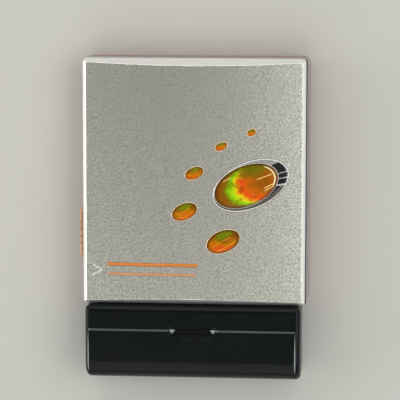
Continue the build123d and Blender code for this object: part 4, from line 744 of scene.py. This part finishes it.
def printed_stroke(name, start, end, width, finish):
    """A straight stroke of ink with round ends."""
    rounding, steps, least = 6, 48, 0.02
    start, end = Vector(start) * MM, Vector(end) * MM
    ahead = (end - start).normalized()
    aside = Vector((-ahead.y, ahead.x))
    length = (end - start).length
    half = width * MM / 2
    stations = [half - half * cos(pi / 2 * index / rounding) for index in range(rounding)]
    stations += [half + (length - 2 * half) * index / steps for index in range(steps)]
    stations += [length - half + half * sin(pi / 2 * index / rounding) for index in range(rounding + 1)]
    rows = []
    for station in stations:
        over = max(half - station, station - (length - half), 0.0)
        reach = max(sqrt(max(half * half - over * over, 0.0)), least * half)
        middle = start + ahead * station
        across = [middle + aside * reach * side for side in (-1.0, -0.5, 0.0, 0.5, 1.0)]
        rows.append([(place.x, place.y, crown_height(place.x) + INK) for place in across])
    lid_slab(name, rows, INK, finish)


# ---- Painted shade in the grooves of the opening slider ----
GROOVE_SHADES = 4
GROOVE_SHADE_PITCH = 2.3 * MM
FIRST_GROOVE_SHADE_Y = -20.2 * MM
GROOVE_SHADE_HALF = 0.27 * MM       # half width
GROOVE_SHADE_DEPTH = 0.36 * MM
GROOVE_SHADE_SINK = 0.02 * MM       # of its outer side under the slider's face
GROOVE_SHADE_MARGIN = 0.2 * MM      # from the slider's upper and lower edge
GROOVE_SHADE_END = 0.35             # thickness at its ends, as a share
GROOVE_SHADE_SHOULDER = 0.9         # where its full thickness begins, as a share of its half length


def slider_groove_shades():
    """Dark pieces set into the grooves of the opening slider: painted shade."""
    around = 12
    low, high = box("open_slider")
    middle = (low.z + high.z) / 2
    reach = (high.z - low.z) / 2 - GROOVE_SHADE_MARGIN
    shoulder = reach * GROOVE_SHADE_SHOULDER
    levels = ((-reach, GROOVE_SHADE_END), (-shoulder, 1.0), (shoulder, 1.0), (reach, GROOVE_SHADE_END))
    points = []
    faces = []
    for index in range(GROOVE_SHADES):
        faces += tube_faces(len(points), len(levels), around)
        for z, thickness in levels:
            for step in range(around):
                turn = 2 * pi * step / around
                points.append((low.x + GROOVE_SHADE_SINK + GROOVE_SHADE_DEPTH * (1 - thickness * cos(turn)),
                               FIRST_GROOVE_SHADE_Y + index * GROOVE_SHADE_PITCH + GROOVE_SHADE_HALF * thickness * sin(turn),
                               middle + z))
    add_mesh("slider_groove_shades", points, faces, ("wheel_plastic",), "open_latch")


# ---- The battery case's cover ----
cover_low, cover_high = box("case_cover")
COVER_TOP = cover_high.z
FAR_RADIUS = 6.0 * MM      # of the case's rounded side, away from the player
SEAM_Y = -47.0 * MM
NOTCH_LEFT = -8.05 * MM    # ends of the finger notch
NOTCH_RIGHT = 6.85 * MM
NOTCH_RAMP = 1.0 * MM      # length of the slope at each of its ends
NOTCH_Z = 16.45 * MM       # height of its floor
UP = Vector((0, 0, 1))
AHEAD = Vector((0, 1, 0))
ACROSS = Vector((1, 0, 0))


def bead(name, stations, half_width, height, finish, tapered=False):
    """Thin raised strips, for marks and for painted highlights: each station is a place, its outward normal
    and its side direction.

    It keeps its width, or tapers to a thin line at both ends."""
    steps, thinnest = 8, 0.15
    last = len(stations) - 1
    points = []
    for index, (place, normal, side) in enumerate(stations):
        half = half_width * max(sin(pi * index / last), thinnest) if tapered else half_width
        for step in range(steps + 1):
            turn = pi * step / steps
            points.append(place + side * half * cos(turn) + normal * height * sin(turn))
        points.append(place - normal * height / 2)
    faces = tube_faces(0, len(stations), steps + 2)
    add_mesh(name, points, faces, (finish,), "dry_cell_cover")


def line_stations(start, stop, y, steps):
    """Stations of a straight bead across the cover's top."""
    return [(Vector((start + (stop - start) * step / steps, y, COVER_TOP)), UP, AHEAD)
            for step in range(steps + 1)]


def edge_stations(x):
    """Stations at x over the cover, from the seam onto the rounded far side."""
    steps, far_turn = 14, radians(40)
    low, high = box("case_shell")
    middle_y, middle_z = low.y + FAR_RADIUS, high.z - FAR_RADIUS
    stations = [(Vector((x, SEAM_Y + (middle_y - SEAM_Y) * step / steps, high.z)), UP, ACROSS)
                for step in range(steps)]
    for step in range(steps + 1):
        turn = far_turn * step / steps
        normal = Vector((0, -sin(turn), cos(turn)))
        stations.append((Vector((x, middle_y, middle_z)) + normal * FAR_RADIUS, normal, ACROSS))
    return stations


def cover_edge_highlights():
    """Painted highlights: bright lines along the cover's two ends, and grey ones along its seam beside the
    finger notch.
    """
    inset = 0.12 * MM
    for name, x in (("cover_end_highlight_left", cover_low.x + inset), ("cover_end_highlight_right", cover_high.x - inset)):
        bead(name, edge_stations(x), 0.2 * MM, 0.05 * MM, "bright_painted_highlight", tapered=True)
    end_gap, notch_gap, seam_offset = 0.2 * MM, 0.1 * MM, 0.36 * MM
    for name, start, stop in (("seam_highlight_left", cover_low.x + end_gap, NOTCH_LEFT - notch_gap),
                              ("seam_highlight_right", NOTCH_RIGHT + notch_gap, cover_high.x - end_gap)):
        bead(name, line_stations(start, stop, SEAM_Y - seam_offset, 24), 0.35 * MM, 0.07 * MM, "grey_painted_highlight")


def notch_highlight_facets():
    """Bright facets on the two ramps of the finger notch: painted highlights."""
    lift, sink = 0.05 * MM, 0.15 * MM
    near_y, far_y = SEAM_Y - 0.1 * MM, SEAM_Y - 1.4 * MM
    width = 1.9 * MM
    points = []
    faces = []
    for outer, way in ((NOTCH_LEFT, 1), (NOTCH_RIGHT, -1)):
        start = len(points)
        ramp_foot = outer + way * NOTCH_RAMP
        corners = [(outer, near_y, COVER_TOP + lift), (ramp_foot, near_y, NOTCH_Z + lift),
                   (outer + way * width, near_y, NOTCH_Z + lift), (ramp_foot, far_y, NOTCH_Z + lift)]
        points += corners + [(x, y, z - sink) for x, y, z in corners]
        faces += [(start, start + 1, start + 3), (start + 1, start + 2, start + 3),
                  (start + 4, start + 7, start + 5), (start + 5, start + 7, start + 6)]
        for first, second in ((0, 1), (1, 2), (2, 3), (3, 0)):
            faces.append((start + first, start + second, start + 4 + second, start + 4 + first))
    add_mesh("notch_highlight_facets", points, faces, ("bright_painted_highlight",), "dry_cell_cover", smooth=False)


def cover_marks():
    """A plain raised arrow and a bar below the finger notch."""
    tip_x, tip_y = -6.3 * MM, -51.1 * MM
    half, length, rise = 1.1 * MM, 2.0 * MM, 0.08 * MM
    bar_start, bar_length = -4.2 * MM, 9.4 * MM
    outline = [(tip_x - half, tip_y + length), (tip_x + half, tip_y + length), (tip_x, tip_y)]
    points = [(x, y, COVER_TOP + height) for height in (rise, -rise) for x, y in outline]
    faces = [(0, 1, 2), (3, 5, 4), (0, 3, 4, 1), (1, 4, 5, 2), (2, 5, 3, 0)]
    add_mesh("cover_arrow", points, faces, ("case_black",), "dry_cell_cover", smooth=False)
    stations = line_stations(bar_start, bar_start + bar_length, tip_y + length / 2, 16)
    bead("cover_bar", stations, 0.35 * MM, rise, "case_black")


lid_skin()
inlays()
slider_groove_shades()
cover_edge_highlights()
notch_highlight_facets()
cover_marks()
for ink_stroke in STROKES:
    printed_stroke(*ink_stroke)


# ---- Floor, light and camera ----
BACKGROUND = (0.578, 0.571, 0.527, 1.0)
FLOOR_HALF = 1.8
FLOOR_DROP = 0.02 * MM     # below what stands on it
WALL_BRIGHTNESS = 0.5
DIM_LIGHT = 0.15
WALL_TOP, CEILING = 0.25, 0.6          # heights on the unit sphere of directions
# Soft lights: name, place, the point that it faces, size and power
LAMPS = (("right_box", (0.55, 0.05, 0.72), (0, 0, 0), (0.72, 0.64), 3.4),
         ("left_box", (-0.75, 0.1, 0.5), (0, 0, 0), (0.8, 0.5), 1.8),
         ("near_box", (-0.1, -0.62, 0.6), (0, -0.05, 0), (1.1, 0.9), 3.5),
         ("far_box", (0.0, 0.8, 0.5), (0, 0, 0), (1.4, 0.7), 4.6),
         ("left_strip", (-0.8, 0.0, 0.12), (0, 0, 0.01), (0.9, 0.2), 2.6),
         ("right_strip", (0.8, 0.0, 0.12), (0, 0, 0.01), (0.9, 0.2), 0.3))
CAMERA_PLACE = Vector((0.060, 0.085, 0.700))
CAMERA_AIM = Vector((0.001465, -0.00576, 0.0129))
CAMERA_ROLL = 0.0011
FOCAL_PIXELS = 2189.0      # focal length, measured in the photograph's pixels
IMAGE_PIXELS = 400.0       # width of the photograph
NEAREST = 0.01             # clipping distance of the camera


def stage():
    """A pale floor that carries the object's shadow."""
    half = FLOOR_HALF
    mesh = bpy.data.meshes.new("floor")
    mesh.from_pydata([(-half, -half, 0), (half, -half, 0), (half, half, 0), (-half, half, 0)], [],
                     [(0, 1, 2, 3)])
    floor = bpy.data.objects.new("floor", mesh)
    bpy.context.collection.objects.link(floor)
    floor.location.z = -FLOOR_DROP
    surface = Surface("floor_matt", Roughness=0.9, Specular_IOR_Level=0.1)
    cloud = surface.spread(surface.noise(60 * MM, detail=2.0), *MOST)
    surface.colour(surface.blend(cloud, shade(BACKGROUND, 0.985), shade(BACKGROUND, 1.015)))
    mesh.materials.append(surface.material)


def world_light():
    """Even dim light, and for the eye and for gloss a pale wall all round below a dimmer ceiling."""
    world = bpy.data.worlds.new("studio")
    bpy.context.scene.world = world
    world.use_nodes = True
    nodes, links = world.node_tree.nodes, world.node_tree.links
    background = nodes["Background"]
    background.inputs["Color"].default_value = (1.0, 1.0, 0.97, 1.0)
    path = nodes.new("ShaderNodeLightPath")
    place = nodes.new("ShaderNodeTexCoord")
    split = nodes.new("ShaderNodeSeparateXYZ")
    links.new(place.outputs["Generated"], split.inputs[0])
    wall = nodes.new("ShaderNodeMapRange")
    wall.clamp = True
    wall.inputs["From Min"].default_value = WALL_TOP
    wall.inputs["From Max"].default_value = CEILING
    wall.inputs["To Min"].default_value = WALL_BRIGHTNESS
    wall.inputs["To Max"].default_value = DIM_LIGHT
    links.new(split.outputs[2], wall.inputs["Value"])
    seen = path.outputs["Is Camera Ray"]
    for ray in ("Is Glossy Ray", "Is Transmission Ray"):
        either = nodes.new("ShaderNodeMath")
        either.operation = "MAXIMUM"
        links.new(seen, either.inputs[0])
        links.new(path.outputs[ray], either.inputs[1])
        seen = either.outputs[0]
    strength = nodes.new("ShaderNodeMix")
    strength.inputs[2].default_value = DIM_LIGHT
    links.new(seen, strength.inputs[0])
    links.new(wall.outputs[0], strength.inputs[3])
    links.new(strength.outputs[0], background.inputs["Strength"])


def softbox(name, place, target, size, power):
    """A rectangular soft light that faces a point."""
    light = bpy.data.lights.new(name, "AREA")
    light.shape = "RECTANGLE"
    light.size, light.size_y = size
    light.energy = power
    lamp = bpy.data.objects.new(name, light)
    bpy.context.collection.objects.link(lamp)
    lamp.location = place
    lamp.rotation_euler = (Vector(target) - Vector(place)).to_track_quat("-Z", "Y").to_euler()


def camera():
    """The photograph's view, nearly straight down on the lid."""
    data = bpy.data.cameras.new("camera")
    data.lens = FOCAL_PIXELS * data.sensor_width / IMAGE_PIXELS
    data.clip_start = NEAREST
    viewer = bpy.data.objects.new("camera", data)
    bpy.context.collection.objects.link(viewer)
    back = (CAMERA_PLACE - CAMERA_AIM).normalized()
    right = AHEAD.cross(back).normalized()
    up = back.cross(right)
    level = Matrix((right, up, back)).transposed().to_4x4()
    viewer.matrix_world = Matrix.Translation(CAMERA_PLACE) @ level @ Matrix.Rotation(CAMERA_ROLL, 4, "Z")
    bpy.context.scene.camera = viewer


stage()
world_light()
for lamp_settings in LAMPS:
    softbox(*lamp_settings)
camera()

bpy.context.scene.view_settings.view_transform = "Standard"
